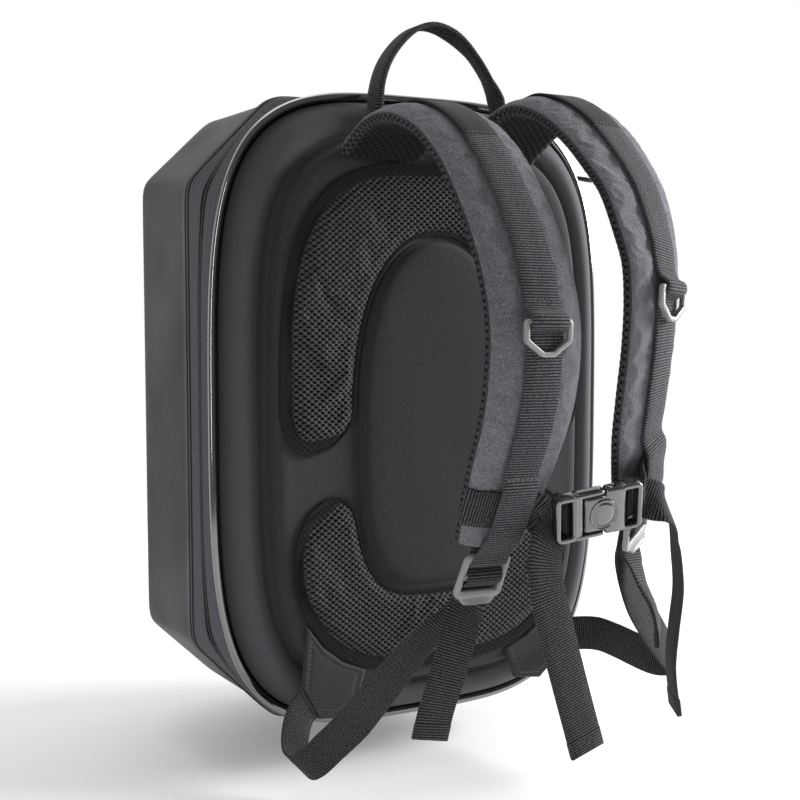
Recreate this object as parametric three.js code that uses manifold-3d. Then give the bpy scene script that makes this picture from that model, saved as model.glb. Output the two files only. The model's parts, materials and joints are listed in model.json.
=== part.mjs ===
// A hard shell backpack: a zipped case with a moulded back, padded shoulder straps and a chest strap.
// Millimetres, +Z up. The wearer's side faces -Y, the hard shell's front faces +Y.
// The sizes below are measured from the middle of the case at its rear rim; the finished group is moved
// so that the origin is the point under the carry handle that the backpack hangs from.
import * as THREE from 'three';
import { mergeVertices } from 'three/addons/utils/BufferGeometryUtils.js';
import Module from 'manifold-3d';

const wasm = await Module();
wasm.setup();

// Driving dimensions
const GAP = 0.4;                // clearance between pieces that are sewn or clipped together
const CASE_HALF_WIDTH = 150;
const CASE_HALF_HEIGHT = 205;
const SHELL_WALL = 2.5;
const SHELL_SIDE_DEPTH = 105;   // from the rim to the bevel round the front
const SHELL_DEPTH = 150;
const ZIP_TAPE = 1.5;
const PIPING_Y = -25;
const PIPING_RADIUS = 3;
const PANEL_WALL = 4;
const PLATEAU_Y = -52;
const PAD_HEIGHT = 7;
const STRAP_PAD = 10;
const STRAP_LINING = 2.4;
const WEBBING = 25;
const WEBBING_THICKNESS = 1.6;
const HANDLE_THICKNESS = 3;
const HANDLE_WIDTH = 18;
const HANDLE_Y = -45;
const HANDLE_TOP = 247;
const RIM_LIP = 8;              // depth of the lip round the shell's rim
const RIM_STEP = 1.6;           // how far the shell's side sets back behind the lip
const RING_BAR_LIFT = 5;        // from the strap's face to the middle of the ring's bar
const RING_THICKNESS = 4;
const LOCK_THICKNESS = 3.6;
const LOCK_DROP = 22;           // from the end of the padding to the lock's middle bar

const FINISH = {
  shell: { color: 0x44494c, roughness: 0.38, metalness: 0 },
  tape: { color: 0x2b2b2e, roughness: 0.9, metalness: 0 },
  coil: { color: 0x1c1c1e, roughness: 0.45, metalness: 0 },
  piping: { color: 0x202022, roughness: 0.25, metalness: 0 },
  moulded: { color: 0x454348, roughness: 0.95, metalness: 0 },
  mesh: { color: 0x29292c, roughness: 0.95, metalness: 0 },
  strap: { color: 0x646367, roughness: 0.9, metalness: 0 },
  webbing: { color: 0x49494b, roughness: 0.8, metalness: 0 },
  ring: { color: 0x8b8b8c, roughness: 0.4, metalness: 0.6 },
  lock: { color: 0x7d807e, roughness: 0.5, metalness: 0 },
  buckle: { color: 0x303133, roughness: 0.45, metalness: 0 },
};

const vec = (x, y, z) => new THREE.Vector3(x, y, z);
const radians = THREE.MathUtils.degToRad;
const backpack = new THREE.Group();
backpack.position.set(0, -HANDLE_Y, -HANDLE_TOP);

function addPiece(name, geometry, finish, parent = backpack) {
  const mesh = new THREE.Mesh(geometry, new THREE.MeshStandardMaterial(FINISH[finish]));
  mesh.name = name;
  parent.add(mesh);
  return mesh;
}

// Closed solid from a list of rings of points, each ring with the same number of points. The rings are
// skinned one to the next; loop joins the last to the first, and otherwise both ends are closed by fans.
function skin(rings, loop = false) {
  const count = rings[0].length;
  const positions = rings.flat().flatMap((p) => [p.x, p.y, p.z]);
  const index = [];
  const spans = loop ? rings.length : rings.length - 1;
  for (let i = 0; i < spans; i++) {
    const here = i * count;
    const next = ((i + 1) % rings.length) * count;
    for (let k = 0; k < count; k++) {
      const j = (k + 1) % count;
      index.push(here + k, here + j, next + j, here + k, next + j, next + k);
    }
  }
  if (!loop) {
    const last = (rings.length - 1) * count;
    for (let k = 1; k < count - 1; k++) {
      index.push(0, k + 1, k, last, last + k, last + k + 1);
    }
  }
  return facingOut(positions, index);
}

// Geometry whose triangles face out: the signed volume tells which way they turn.
function facingOut(positions, index) {
  const at = (i) => vec(positions[3 * i], positions[3 * i + 1], positions[3 * i + 2]);
  let volume = 0;
  for (let i = 0; i < index.length; i += 3) {
    volume += at(index[i]).dot(at(index[i + 1]).cross(at(index[i + 2])));
  }
  if (volume < 0) index.reverse();
  const geometry = new THREE.BufferGeometry();
  geometry.setAttribute('position', new THREE.Float32BufferAttribute(positions, 3));
  geometry.setIndex(index);
  return geometry;
}

function toSolid(geometry) {
  const bare = geometry.clone();
  bare.deleteAttribute('normal');
  bare.deleteAttribute('uv');
  const merged = mergeVertices(bare, 1e-4);
  return new wasm.Manifold(new wasm.Mesh({
    numProp: 3,
    vertProperties: new Float32Array(merged.attributes.position.array),
    triVerts: new Uint32Array(merged.index.array),
  }));
}

function fromSolid(solid) {
  const { vertProperties, triVerts } = solid.getMesh();
  const geometry = new THREE.BufferGeometry();
  geometry.setAttribute('position', new THREE.Float32BufferAttribute(vertProperties, 3));
  geometry.setIndex([...triVerts]);
  return geometry;
}

// Plate of an outline with softened edges, centred on its own thickness.
function plate(shape, thickness, edge) {
  const geometry = new THREE.ExtrudeGeometry(shape, {
    depth: thickness - 2 * edge,
    bevelEnabled: true,
    bevelThickness: edge,
    bevelSize: edge,
    bevelOffset: -edge,
    bevelSegments: 1,
    curveSegments: 2,
  });
  return geometry.translate(0, 0, edge - thickness / 2);
}

function polygon(points) {
  return new THREE.Shape(points.map(([x, y]) => new THREE.Vector2(x, y)));
}

function roundedBox(width, height, radius, x = 0, y = 0) {
  const [w, h, r] = [width / 2, height / 2, radius];
  const shape = new THREE.Shape();
  shape.absarc(x + w - r, y + h - r, r, 0, Math.PI / 2);
  shape.absarc(x - w + r, y + h - r, r, Math.PI / 2, Math.PI);
  shape.absarc(x - w + r, y - h + r, r, Math.PI, 1.5 * Math.PI);
  shape.absarc(x + w - r, y - h + r, r, 1.5 * Math.PI, 2 * Math.PI);
  return shape;
}

// Outlines of the case
// An outline is a set of straight sides, joined by a common power: the higher it is, the sharper the
// corners between them. cutX and cutZ are the legs of the slanted side across each corner, and powerBelow is
// the power of the lower half where it differs. An outline can also lie between two others, at a share of
// the way from the first to the second.
const QUADRANT = [12, 26, 36, 42, 46, 50, 56, 61, 64, 67, 74, 82].map(radians);
const ANGLES = [
  ...QUADRANT,
  ...QUADRANT.map((a) => Math.PI - a).reverse(),
  ...QUADRANT.map((a) => Math.PI + a),
  ...QUADRANT.map((a) => 2 * Math.PI - a).reverse(),
];

function outlineReach(angle, outline) {
  const { halfWidth, halfHeight, cutX, cutZ, between, share } = outline;
  if (between) {
    const [from, to] = between.map((end) => outlineReach(angle, end));
    return THREE.MathUtils.lerp(from, to, share);
  }
  const c = Math.abs(Math.cos(angle));
  const s = Math.abs(Math.sin(angle));
  const sides = [c / halfWidth, s / halfHeight];
  if (cutX) {
    const alongX = halfWidth - cutX + (halfHeight * cutX) / cutZ;
    sides.push(c / alongX + s / ((alongX * cutZ) / cutX));
  }
  const power = Math.sin(angle) < 0 && outline.powerBelow ? outline.powerBelow : outline.power;
  const most = Math.max(...sides);
  return 1 / (most * sides.reduce((sum, side) => sum + (side / most) ** power, 0) ** (1 / power));
}

function outlineRing(outline, y, angles = ANGLES) {
  return angles.map((angle) => {
    const reach = outlineReach(angle, outline);
    return vec(reach * Math.cos(angle), y, reach * Math.sin(angle));
  });
}

function inset(outline, by) {
  if (outline.between) {
    return { ...outline, between: outline.between.map((end) => inset(end, by)) };
  }
  return { ...outline, halfWidth: outline.halfWidth - by, halfHeight: outline.halfHeight - by };
}

const RIM = { halfWidth: CASE_HALF_WIDTH, halfHeight: CASE_HALF_HEIGHT, power: 70, cutX: 57, cutZ: 58 };
const SHOULDER = { halfWidth: 147, halfHeight: 201, power: 90, cutX: 50, cutZ: 48 };
const FRONT = { halfWidth: 112, halfHeight: 168, power: 90, cutX: 50, cutZ: 52 };
const PIPED = { halfWidth: 144.2, halfHeight: 204, power: 3.86 };
const PANEL = inset(PIPED, PIPING_RADIUS + GAP);
const PLATEAU = { halfWidth: 115, halfHeight: 176.5, power: 4 };
const OVAL = { halfWidth: 57, halfHeight: 112, power: 2.25, powerBelow: 3.6 };

function frontShell() {
  const outer = [
    { outline: RIM, y: 0 },
    { outline: RIM, y: RIM_LIP },
    { outline: inset(RIM, RIM_STEP), y: RIM_LIP + RIM_STEP },
    { outline: SHOULDER, y: SHELL_SIDE_DEPTH },
    { outline: FRONT, y: SHELL_DEPTH },
  ];
  const inner = [
    { outline: inset(FRONT, SHELL_WALL), y: SHELL_DEPTH - SHELL_WALL },
    { outline: inset(SHOULDER, SHELL_WALL), y: SHELL_SIDE_DEPTH - 1 },
    { outline: inset(RIM, SHELL_WALL + RIM_STEP), y: RIM_LIP + RIM_STEP },
    { outline: inset(RIM, SHELL_WALL), y: 0 },
  ];
  return toTub([...outer.map(ringOf), ...inner.map(ringOf)], outer.length);
}

const ringOf = ({ outline, y }) => outlineRing(outline, y);

// Open tub: the rings run up the outside to a flat floor and back down the inside from its other face,
// and the first and last rings meet at the rim.
function toTub(rings, floorAt) {
  const count = rings[0].length;
  const positions = rings.flat().flatMap((p) => [p.x, p.y, p.z]);
  const index = [];
  for (let i = 0; i < rings.length; i++) {
    const next = (i + 1) % rings.length;
    if (next === floorAt) {
      for (let k = 1; k < count - 1; k++) {
        const outside = i * count;
        const inside = next * count;
        index.push(outside, outside + k, outside + k + 1, inside, inside + k + 1, inside + k);
      }
      continue;
    }
    for (let k = 0; k < count; k++) {
      const j = (k + 1) % count;
      index.push(i * count + k, i * count + j, next * count + j);
      index.push(i * count + k, next * count + j, next * count + k);
    }
  }
  return facingOut(positions, index);
}

function backPanel() {
  const outer = [
    { outline: PANEL, y: PIPING_Y + 2 },
    { outline: inset(PANEL, 3), y: -33 },
    { outline: inset(PANEL, 8), y: -39 },
    { outline: inset(PANEL, 14), y: -41.5 },
    { outline: inset(PANEL, 20), y: -40 },
    { outline: inset(PLATEAU, -3), y: -41 },
    { outline: PLATEAU, y: -48 },
    { outline: inset(PLATEAU, 5), y: PLATEAU_Y },
  ];
  const inner = [
    { outline: inset(PLATEAU, 8), y: PLATEAU_Y + PANEL_WALL },
    { outline: inset(PLATEAU, 2), y: -37 },
    { outline: inset(PANEL, 12), y: -36.5 },
    { outline: inset(PANEL, PANEL_WALL), y: PIPING_Y + 2 },
  ];
  return toTub([...outer.map(ringOf), ...inner.map(ringOf)], outer.length);
}

// Band of cloth round the case, one half of the zip's tape.
function tapeBand([from, to]) {
  const [near, far] = [zipOutline(from.share), zipOutline(to.share)];
  return skin([
    outlineRing(near, from.y),
    outlineRing(far, to.y),
    outlineRing(inset(far, ZIP_TAPE), to.y),
    outlineRing(inset(near, ZIP_TAPE), from.y),
  ], true);
}

// The zip's tape leans in from the rim to the piping, so its outline is a blend of the two.
const zipOutline = (share) => ({ between: [inset(RIM, 0.6), inset(PIPED, -1.4)], share });

// Where each half of the tape starts and ends, as a share of the way from the rim to the piping.
const TAPE = {
  front: [{ share: 0, y: -GAP }, { share: 0.4, y: -9.4 }],
  rear: [{ share: 0.6, y: -13.2 }, { share: 1, y: -21.6 }],
};
const COIL = { share: 0.5, y: -11.3, sink: 1, radius: 1.5 };

function roundCord(outline, y, radius, sides) {
  const rings = [];
  for (let i = 0; i < sides; i++) {
    const turn = (2 * Math.PI * i) / sides;
    rings.push(outlineRing(inset(outline, radius * Math.cos(turn)), y + radius * Math.sin(turn)));
  }
  return skin(rings, true);
}

// Pads on the plateau
// A pad is a crowned band between an inner and an outer outline, from one angle to another about the
// middle of the back. Near each end both edges close in on the middle line, so that the end is round.
const BAND_ACROSS = [0, 0.12, 0.35, 0.65, 0.88, 1];

function bandPad({ from, to, steps, inner, outer, round }) {
  const crown = (v) => 1.2 + (PAD_HEIGHT - 1.2) * (1 - Math.abs(2 * v - 1) ** 2.5);
  const sections = [];
  for (let i = 0; i <= steps; i++) {
    const share = 0.5 - 0.5 * Math.cos((Math.PI * i) / steps);
    const angle = radians(from + (to - from) * share);
    const left = Math.min(share, 1 - share) / round;
    const open = left < 1 ? Math.sqrt(Math.max(1 - (1 - left) ** 2, 0.02)) : 1;
    const near = outlineReach(angle, inner);
    const far = outlineReach(angle, outer);
    const place = (v, height) => {
      const reach = (near + far) / 2 + (far - near) * (v - 0.5) * open;
      return vec(reach * Math.cos(angle), PLATEAU_Y - GAP - height * open, reach * Math.sin(angle));
    };
    const top = BAND_ACROSS.map((v) => place(v, crown(v)));
    const under = [1, 0].map((v) => place(v, 0));
    sections.push([...top, ...under]);
  }
  return skin(sections);
}

function ovalPad() {
  const rings = [
    { outline: OVAL, y: PLATEAU_Y - GAP },
    { outline: OVAL, y: PLATEAU_Y - GAP - 2 },
    { outline: inset(OVAL, 7), y: PLATEAU_Y - 6 },
    { outline: inset(OVAL, 22), y: PLATEAU_Y - PAD_HEIGHT },
  ];
  return skin(rings.map(ringOf));
}

// Ribbons
// A ribbon follows a smooth curve through its rows. Each row gives a point and the direction across the
// ribbon there; the curve has the same number of steps in every stretch between two rows.
function ribbon(rows, { width = WEBBING, thickness = WEBBING_THICKNESS, steps = 2 }) {
  const path = new THREE.CatmullRomCurve3(rows.map((row) => row.at), false, 'centripetal');
  const last = rows.length - 1;
  const sections = [];
  for (let i = 0; i <= last * steps; i++) {
    const t = i / (last * steps);
    const point = path.getPoint(t);
    const along = path.getTangent(t);
    const k = Math.min(Math.floor(t * last), last - 1);
    const across = rows[k].across.clone().lerp(rows[k + 1].across, t * last - k);
    if (!rows[i / steps]?.sheared) {
      across.addScaledVector(along, -across.dot(along)).normalize();
    }
    const out = along.clone().cross(across).normalize().multiplyScalar(thickness / 2);
    across.multiplyScalar(width / 2);
    sections.push([
      point.clone().add(across).add(out),
      point.clone().sub(across).add(out),
      point.clone().sub(across).sub(out),
      point.clone().add(across).sub(out),
    ]);
  }
  return skin(sections);
}

const row = ([x, y, z], across, sheared = false) => ({ at: vec(x, y, z), across: vec(...across), sheared });

function carryHandle() {
  const foot = [0, 1, 1.1];
  const level = [0, 1, 0];
  const turned = [0.3, 0.95, 0];
  return ribbon([
    row([-41, HANDLE_Y, 186.3], foot, true),
    row([-40, HANDLE_Y, 207], level),
    row([-34, HANDLE_Y, 224], level),
    row([-22, HANDLE_Y, 239], level),
    row([-11, HANDLE_Y, 246.5], level),
    row([0, HANDLE_Y, HANDLE_TOP + HANDLE_THICKNESS / 2], level),
    row([14, HANDLE_Y, 244.5], level),
    row([30, HANDLE_Y, 233], turned),
    row([42, HANDLE_Y, 218], turned),
    row([49, HANDLE_Y, 205], level),
    row([52, HANDLE_Y, 185.4], foot, true),
  ], { width: HANDLE_WIDTH, thickness: HANDLE_THICKNESS });
}

// Shoulder straps
// Each row is a station on the outer face of a strap: the place of its middle line, half the strap's
// width, and how far the face turns outwards there, in degrees. The straps lie loose, each its own way.
const STRAP_ROWS = {
  left: [
    { x: -42, y: -52.4, z: 173, half: 28, turn: 0 },
    { x: -41, y: -84, z: 186, half: 30, turn: 0 },
    { x: -40, y: -114, z: 188, half: 30, turn: 0 },
    { x: -38, y: -143, z: 178, half: 29, turn: 0 },
    { x: -36.5, y: -167, z: 160, half: 28.5, turn: 0 },
    { x: -36, y: -188, z: 136, half: 28.5, turn: 0 },
    { x: -36, y: -206, z: 110, half: 28.5, turn: 0 },
    { x: -36.5, y: -219, z: 85, half: 28.5, turn: 0 },
    { x: -37, y: -226, z: 60, half: 28.5, turn: 0 },
    { x: -37, y: -225, z: 34, half: 28.5, turn: 0 },
    { x: -37.5, y: -219, z: 8, half: 28, turn: 0 },
    { x: -38.5, y: -209, z: -16, half: 27, turn: 0 },
    { x: -39, y: -198, z: -39, half: 25, turn: 0 },
    { x: -40, y: -187, z: -62, half: 21, turn: 0 },
  ],
  right: [
    { x: 42, y: -52.4, z: 173, half: 28, turn: 0 },
    { x: 42, y: -84, z: 190, half: 29, turn: 0 },
    { x: 43, y: -116, z: 197, half: 29, turn: 2 },
    { x: 46.5, y: -142, z: 189, half: 29.5, turn: 6 },
    { x: 49.2, y: -163, z: 174.3, half: 30.5, turn: 11 },
    { x: 50.5, y: -183, z: 154.5, half: 30.5, turn: 16 },
    { x: 50, y: -199, z: 136, half: 30, turn: 20 },
    { x: 48, y: -212, z: 114, half: 29.5, turn: 23 },
    { x: 47.5, y: -219.5, z: 94, half: 28.5, turn: 25 },
    { x: 46.5, y: -222, z: 72, half: 28, turn: 26 },
    { x: 46.5, y: -220, z: 48, half: 27, turn: 26 },
    { x: 46.5, y: -216, z: 24, half: 26.5, turn: 26 },
    { x: 48, y: -210, z: 1, half: 25.5, turn: 27 },
    { x: 52, y: -203, z: -18, half: 23.5, turn: 29 },
    { x: 57, y: -195, z: -37, half: 20, turn: 31 },
  ],
};

class Strap {
  constructor(side) {
    this.rows = STRAP_ROWS[side];
    this.path = new THREE.CatmullRomCurve3(this.rows.map((r) => vec(r.x, r.y, r.z)), false, 'centripetal');
    this.last = this.rows.length - 1;
  }

  // Axes on the outer face: t counts rows from the base.
  frame(t) {
    const share = Math.min(t / this.last, 1);
    const k = Math.min(Math.floor(share * this.last), this.last - 1);
    const [here, next] = [this.rows[k], this.rows[k + 1]];
    const mix = (name) => THREE.MathUtils.lerp(here[name], next[name], share * this.last - k);
    const along = this.path.getTangent(share);
    const turn = radians(mix('turn'));
    const across = vec(Math.cos(turn), Math.sin(turn), 0);
    across.addScaledVector(along, -across.dot(along)).normalize();
    const out = along.clone().cross(across).normalize();
    return { at: this.path.getPoint(share), along, across, out, half: mix('half') };
  }

  // Place on the outer face: across is in mm from the middle line and lift in mm out from the face.
  place(t, across, lift) {
    const f = this.frame(t);
    return f.at.clone().addScaledVector(f.across, across).addScaledVector(f.out, lift);
  }

  // Row number at which the strap's middle line reaches a height, past its crest.
  rowAt(z) {
    const crest = 3;
    let k = crest;
    while (k < this.last - 1 && this.rows[k + 1].z > z) k++;
    return k + (this.rows[k].z - z) / (this.rows[k].z - this.rows[k + 1].z);
  }

  // Solid of a cross-section given as columns of share of the half width and depth below the face.
  solid(section) {
    const rings = [];
    for (let t = 0; t <= this.last; t += 0.5) {
      const { half } = this.frame(t);
      rings.push(section.map(({ share, depth }) => this.place(t, share * half, -depth)));
    }
    return skin(rings);
  }
}

const PAD_SECTION = [
  { share: -1, depth: 4 },
  { share: -0.92, depth: 1 },
  { share: -0.5, depth: 0 },
  { share: 0.5, depth: 0 },
  { share: 0.92, depth: 1 },
  { share: 1, depth: 4 },
  { share: 1, depth: 8 },
  { share: 0.93, depth: STRAP_PAD },
  { share: -0.93, depth: STRAP_PAD },
  { share: -1, depth: 8 },
];
const LINING_SECTION = [
  { share: -0.95, depth: STRAP_PAD + GAP },
  { share: 0.95, depth: STRAP_PAD + GAP },
  { share: 0.88, depth: STRAP_PAD + GAP + STRAP_LINING },
  { share: -0.88, depth: STRAP_PAD + GAP + STRAP_LINING },
];

// Ladder locks
// A lock's own frame has x across, y up the strap and z out from it, with its middle bar on the origin.
class Lock {
  constructor(strap) {
    const end = strap.frame(strap.last);
    this.across = end.across;
    this.up = end.along.clone().negate();
    this.out = end.out;
    this.at = end.at.clone().addScaledVector(end.along, LOCK_DROP).addScaledVector(end.out, -4);
  }

  place(x, up, out) {
    return this.at.clone().addScaledVector(this.across, x).addScaledVector(this.up, up)
      .addScaledVector(this.out, out);
  }

  matrix() {
    return new THREE.Matrix4().makeBasis(this.across, this.up, this.out).setPosition(this.at);
  }
}

const LOCK_WIDTH = 33;
const LOCK_SLOT = 26;

function ladderLock() {
  const shape = roundedBox(LOCK_WIDTH, 34, 4, 0, -1);
  shape.holes.push(roundedBox(LOCK_SLOT, 8, 1.2, 0, 6), roundedBox(LOCK_SLOT, 9, 1.2, 0, -6.5));
  return plate(shape, LOCK_THICKNESS, 0.7);
}

// Way of the webbing through a lock: up behind, over the middle bar and down behind the lower bar.
const LOCK_THREAD = [
  { up: -26, out: -6.4 },
  { up: -13, out: -5.8 },
  { up: -3, out: -4.8 },
  { up: 2, out: -3.2 },
  { up: 3.7, out: 0 },
  { up: 1.6, out: 2.9 },
  { up: -1.6, out: 3.2 },
  { up: -4.6, out: 1.8 },
  { up: -7.4, out: -1 },
  { up: -10.2, out: -3 },
  { up: -15, out: -3.4 },
  { up: -21, out: -3.6 },
];
// Way of the sewn webbing round the lock's top bar and back to the padding.
const LOCK_LOOP = [
  { up: 19, out: 4.4 },
  { up: 14, out: 3.4 },
  { up: 10.6, out: 3.1 },
  { up: 8.6, out: 1.9 },
  { up: 7.9, out: 0 },
  { up: 8.6, out: -1.9 },
  { up: 10.6, out: -3.1 },
  { up: 14, out: -3.3 },
  { up: 20, out: -3.4 },
];

// Rings
const RING = { halfWidth: 16.2, bar: 3.1, straight: 12, tip: 5, drop: 20.5 };

function dRing() {
  const { halfWidth: w, bar, straight, tip, drop } = RING;
  const half = RING_THICKNESS / 2;
  const shape = polygon([
    [-w, half], [-w, -straight], [-tip, -drop], [tip, -drop], [w, -straight], [w, half],
  ]);
  const iw = w - bar;
  shape.holes.push(polygon([
    [-iw, -half], [iw, -half], [iw, -straight + 1.4], [tip - 1.2, -drop + bar], [1.2 - tip, -drop + bar],
    [-iw, -straight + 1.4],
  ]));
  return plate(shape, RING_THICKNESS, 0.9);
}

// Height of each ring's bar, and of the middle of the chest webbing where it crosses the strap
const RING_Z = { left: 62, right: 80 };
const CHEST_Z = { left: -39, right: -22 };

// Webbing sewn down a strap: it lies flat, rises over the ring's bar in a tunnel, and passes over the
// chest webbing. Each row is a place along the strap and the height of the webbing's middle there.
const FLAT_LIFT = 0.6 + WEBBING_THICKNESS / 2;
const CHEST_LIFT = FLAT_LIFT + 0.8;
const OVER_LIFT = CHEST_LIFT + 1 + WEBBING_THICKNESS;
const TUNNEL = [
  { from: 9, lift: FLAT_LIFT },
  { from: 5, lift: RING_BAR_LIFT + 0.8 },
  { from: 0, lift: RING_BAR_LIFT + 4.1 },
  { from: -5, lift: RING_BAR_LIFT + 0.8 },
  { from: -9, lift: FLAT_LIFT },
];
const CHEST_CROSSING = [
  { from: 20, lift: FLAT_LIFT },
  { from: 13.5, lift: OVER_LIFT },
  { from: 0, lift: OVER_LIFT },
  { from: -13.5, lift: OVER_LIFT },
];

function strapWebbing(strap, lock, side) {
  const near = (z, rows) => rows.map(({ from, lift }) => ({ t: strap.rowAt(z + from), lift }));
  const special = [...near(RING_Z[side], TUNNEL), ...near(CHEST_Z[side], CHEST_CROSSING)];
  const isClear = (t) => special.every((place) => Math.abs(place.t - t) > 0.55);
  const plain = [];
  for (let t = 1.5; t < strap.last - 1; t += 0.5) {
    if (isClear(t)) plain.push({ t, lift: FLAT_LIFT });
  }
  const sewn = [...plain, ...special].sort((a, b) => a.t - b.t);
  const rows = [
    ...sewn.map(({ t, lift }) => ({ at: strap.place(t, 0, lift), across: strap.frame(t).across })),
    ...LOCK_LOOP.map(({ up, out }) => ({ at: lock.place(0, up, out), across: lock.across })),
  ];
  return ribbon(rows, { steps: 1 });
}

// Lower webbing
// Each row is a point and the direction across the webbing there: first from the corner tab to the lock,
// then down the free tail.
const LOWER_RUN = {
  left: [
    row([-101, -57, -187], [-0.52, 0.1, 0.85]),
    row([-108, -65, -202], [-0.62, 0.28, 0.73]),
    row([-109, -73, -213], [-0.68, 0.4, 0.61]),
    row([-104, -80, -215], [-0.68, 0.4, 0.61]),
    row([-97, -86, -205], [-0.7, 0.36, 0.6]),
    row([-86, -100, -181], [-0.75, 0.3, 0.56]),
    row([-74, -124, -149], [-0.85, 0.1, 0.45]),
    row([-59, -146, -118], [-0.95, -0.1, 0.25]),
  ],
  right: [
    row([110, -58, -158.5], [0.05, 0.1, 0.99]),
    row([115.5, -74, -156], [0.1, 0.25, 0.96]),
    row([117, -94, -156.5], [0.1, 0.35, 0.93]),
    row([118.5, -114, -158.5], [0.1, 0.4, 0.91]),
    row([121, -131, -159.5], [0.15, 0.4, 0.9]),
    row([121, -143, -156], [0.25, 0.4, 0.88]),
    row([111, -150.5, -147], [0.45, 0.3, 0.84]),
    row([92, -159, -128], [0.7, 0.25, 0.66]),
    row([74, -165, -106], [0.82, 0.35, 0.45]),
  ],
};
const LOWER_TAIL = {
  left: [
    row([-47, -163, -106], [-0.98, 0, -0.2]),
    row([-54, -167, -121], [-0.96, 0, -0.25]),
    row([-61, -168, -140], [-0.96, 0.1, -0.25]),
    row([-66, -166, -157], [-0.97, 0.1, -0.2]),
    row([-69, -164, -173], [-0.97, 0.1, -0.2]),
  ],
  right: [
    row([65, -177, -84], [0.75, 0.6, 0.1]),
    row([66.5, -182, -95], [0.7, 0.7, 0.1]),
    row([71, -184, -105], [0.65, 0.7, 0]),
    row([75.5, -184, -116], [0.65, 0.7, 0.1]),
    row([79, -182, -129.5], [0.65, 0.7, 0.1]),
  ],
};

// Corner tab: its upper edge follows the lower pad, and the webbing leaves the middle of its short side,
// which hangs down on the left and is pulled up on the right. Both are given as on the left side.
const LOWER_PAD = {
  from: 212, to: 328, steps: 20, round: 0.16,
  inner: inset(OVAL, -3),
  outer: { halfWidth: 112, halfHeight: 167, power: 3.2 },
};
const TAB_THICKNESS = 2.6;
const TAB_Y = PLATEAU_Y - GAP - TAB_THICKNESS / 2;
const TAB_INNER_ANGLES = [234, 240, 246, 252].map(radians);
const TAB_CORNERS = {
  left: [[-60, -184], [-75, -191.5], [-86.3, -190.5], [-98, -168.5]],
  right: [[-60, -184], [-82, -187], [-99.5, -172], [-99.5, -147]],
};

function anchorTab(side) {
  const sign = side === 'left' ? 1 : -1;
  const inner = TAB_INNER_ANGLES.map((angle) => {
    const reach = outlineReach(angle, LOWER_PAD.outer) + 1;
    return [reach * Math.cos(angle), reach * Math.sin(angle)];
  });
  const shape = polygon([...inner, ...TAB_CORNERS[side]].map(([x, z]) => [sign * x, z]));
  return plate(shape, TAB_THICKNESS, 0.5).rotateX(Math.PI / 2).translate(0, TAB_Y, 0);
}

// First two rows of the lower webbing, square to the tab's short side.
function tabExit(side) {
  const [[x1, z1], [x2, z2]] = TAB_CORNERS[side].slice(2);
  const sign = side === 'left' ? 1 : -1;
  const length = Math.hypot(x2 - x1, z2 - z1);
  const across = [(sign * (x2 - x1)) / length, 0, (z2 - z1) / length];
  const leave = (by) => [
    sign * ((x1 + x2) / 2 - (by * (z2 - z1)) / length), TAB_Y, (z1 + z2) / 2 + (by * (x2 - x1)) / length,
  ];
  return [row(leave(GAP + 0.2), across, true), row(leave(4), across)];
}

function lowerWebbing(lock, side) {
  const sign = side === 'left' ? -1 : 1;
  const across = lock.across.clone().multiplyScalar(sign);
  const thread = LOCK_THREAD.map(({ up, out }) => ({ at: lock.place(0, up, out), across }));
  return ribbon([...tabExit(side), ...LOWER_RUN[side], ...thread, ...LOWER_TAIL[side]], { steps: 2 });
}

// Chest strap
// The buckle's own frame has x along it from plug to socket, y across and z out of its face.
const BUCKLE = { at: vec(8.5, -214, -42), along: vec(0.95, -0.25, 0.17), out: vec(-0.2, -0.9, -0.4) };
const BUCKLE_X = BUCKLE.along.clone().normalize();
const BUCKLE_Z = BUCKLE.out.clone().addScaledVector(BUCKLE_X, -BUCKLE.out.dot(BUCKLE_X)).normalize();
const BUCKLE_Y = BUCKLE_Z.clone().cross(BUCKLE_X);
const BUCKLE_FRAME = new THREE.Matrix4().makeBasis(BUCKLE_X, BUCKLE_Y, BUCKLE_Z).setPosition(BUCKLE.at);
const onBuckle = (x, z) => ({ at: vec(x, 0, z).applyMatrix4(BUCKLE_FRAME), across: BUCKLE_Y });

const BUCKLE_HALF_LENGTH = 26;
const BUCKLE_SPLIT = -9;        // where the plug's shoulder meets the socket
const BUCKLE_HALF_WIDTH = 15;
const BUCKLE_THICKNESS = 8;
const BUCKLE_SLOT = { from: 15.5, to: 22, halfWidth: 13.2 };
const ARM = { from: -17, to: 3.5, width: 3 };

function slotHole(sign) {
  const { from, to, halfWidth } = BUCKLE_SLOT;
  return roundedBox(to - from, 2 * halfWidth, 1.6, (sign * (from + to)) / 2, 0);
}

function buckleSocket() {
  const [left, right, half] = [BUCKLE_SPLIT, BUCKLE_HALF_LENGTH, BUCKLE_HALF_WIDTH];
  const notch = half - ARM.width - GAP;
  const shape = polygon([
    [left, -notch], [ARM.to + GAP, -notch], [ARM.to + GAP, -half], [right - 3, -half], [right, 3 - half],
    [right, half - 3], [right - 3, half], [ARM.to + GAP, half], [ARM.to + GAP, notch], [left, notch],
  ]);
  shape.holes.push(slotHole(1));
  const body = toSolid(plate(shape, BUCKLE_THICKNESS, 0.8));
  const button = new THREE.Shape().absellipse(2, 0, 8, 9.5, 0, 2 * Math.PI);
  const dish = new THREE.ExtrudeGeometry(button, { depth: 3, bevelEnabled: false, curveSegments: 10 });
  dish.translate(0, 0, BUCKLE_THICKNESS / 2 - 1.2);
  return fromSolid(body.subtract(toSolid(dish)));
}

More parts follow.
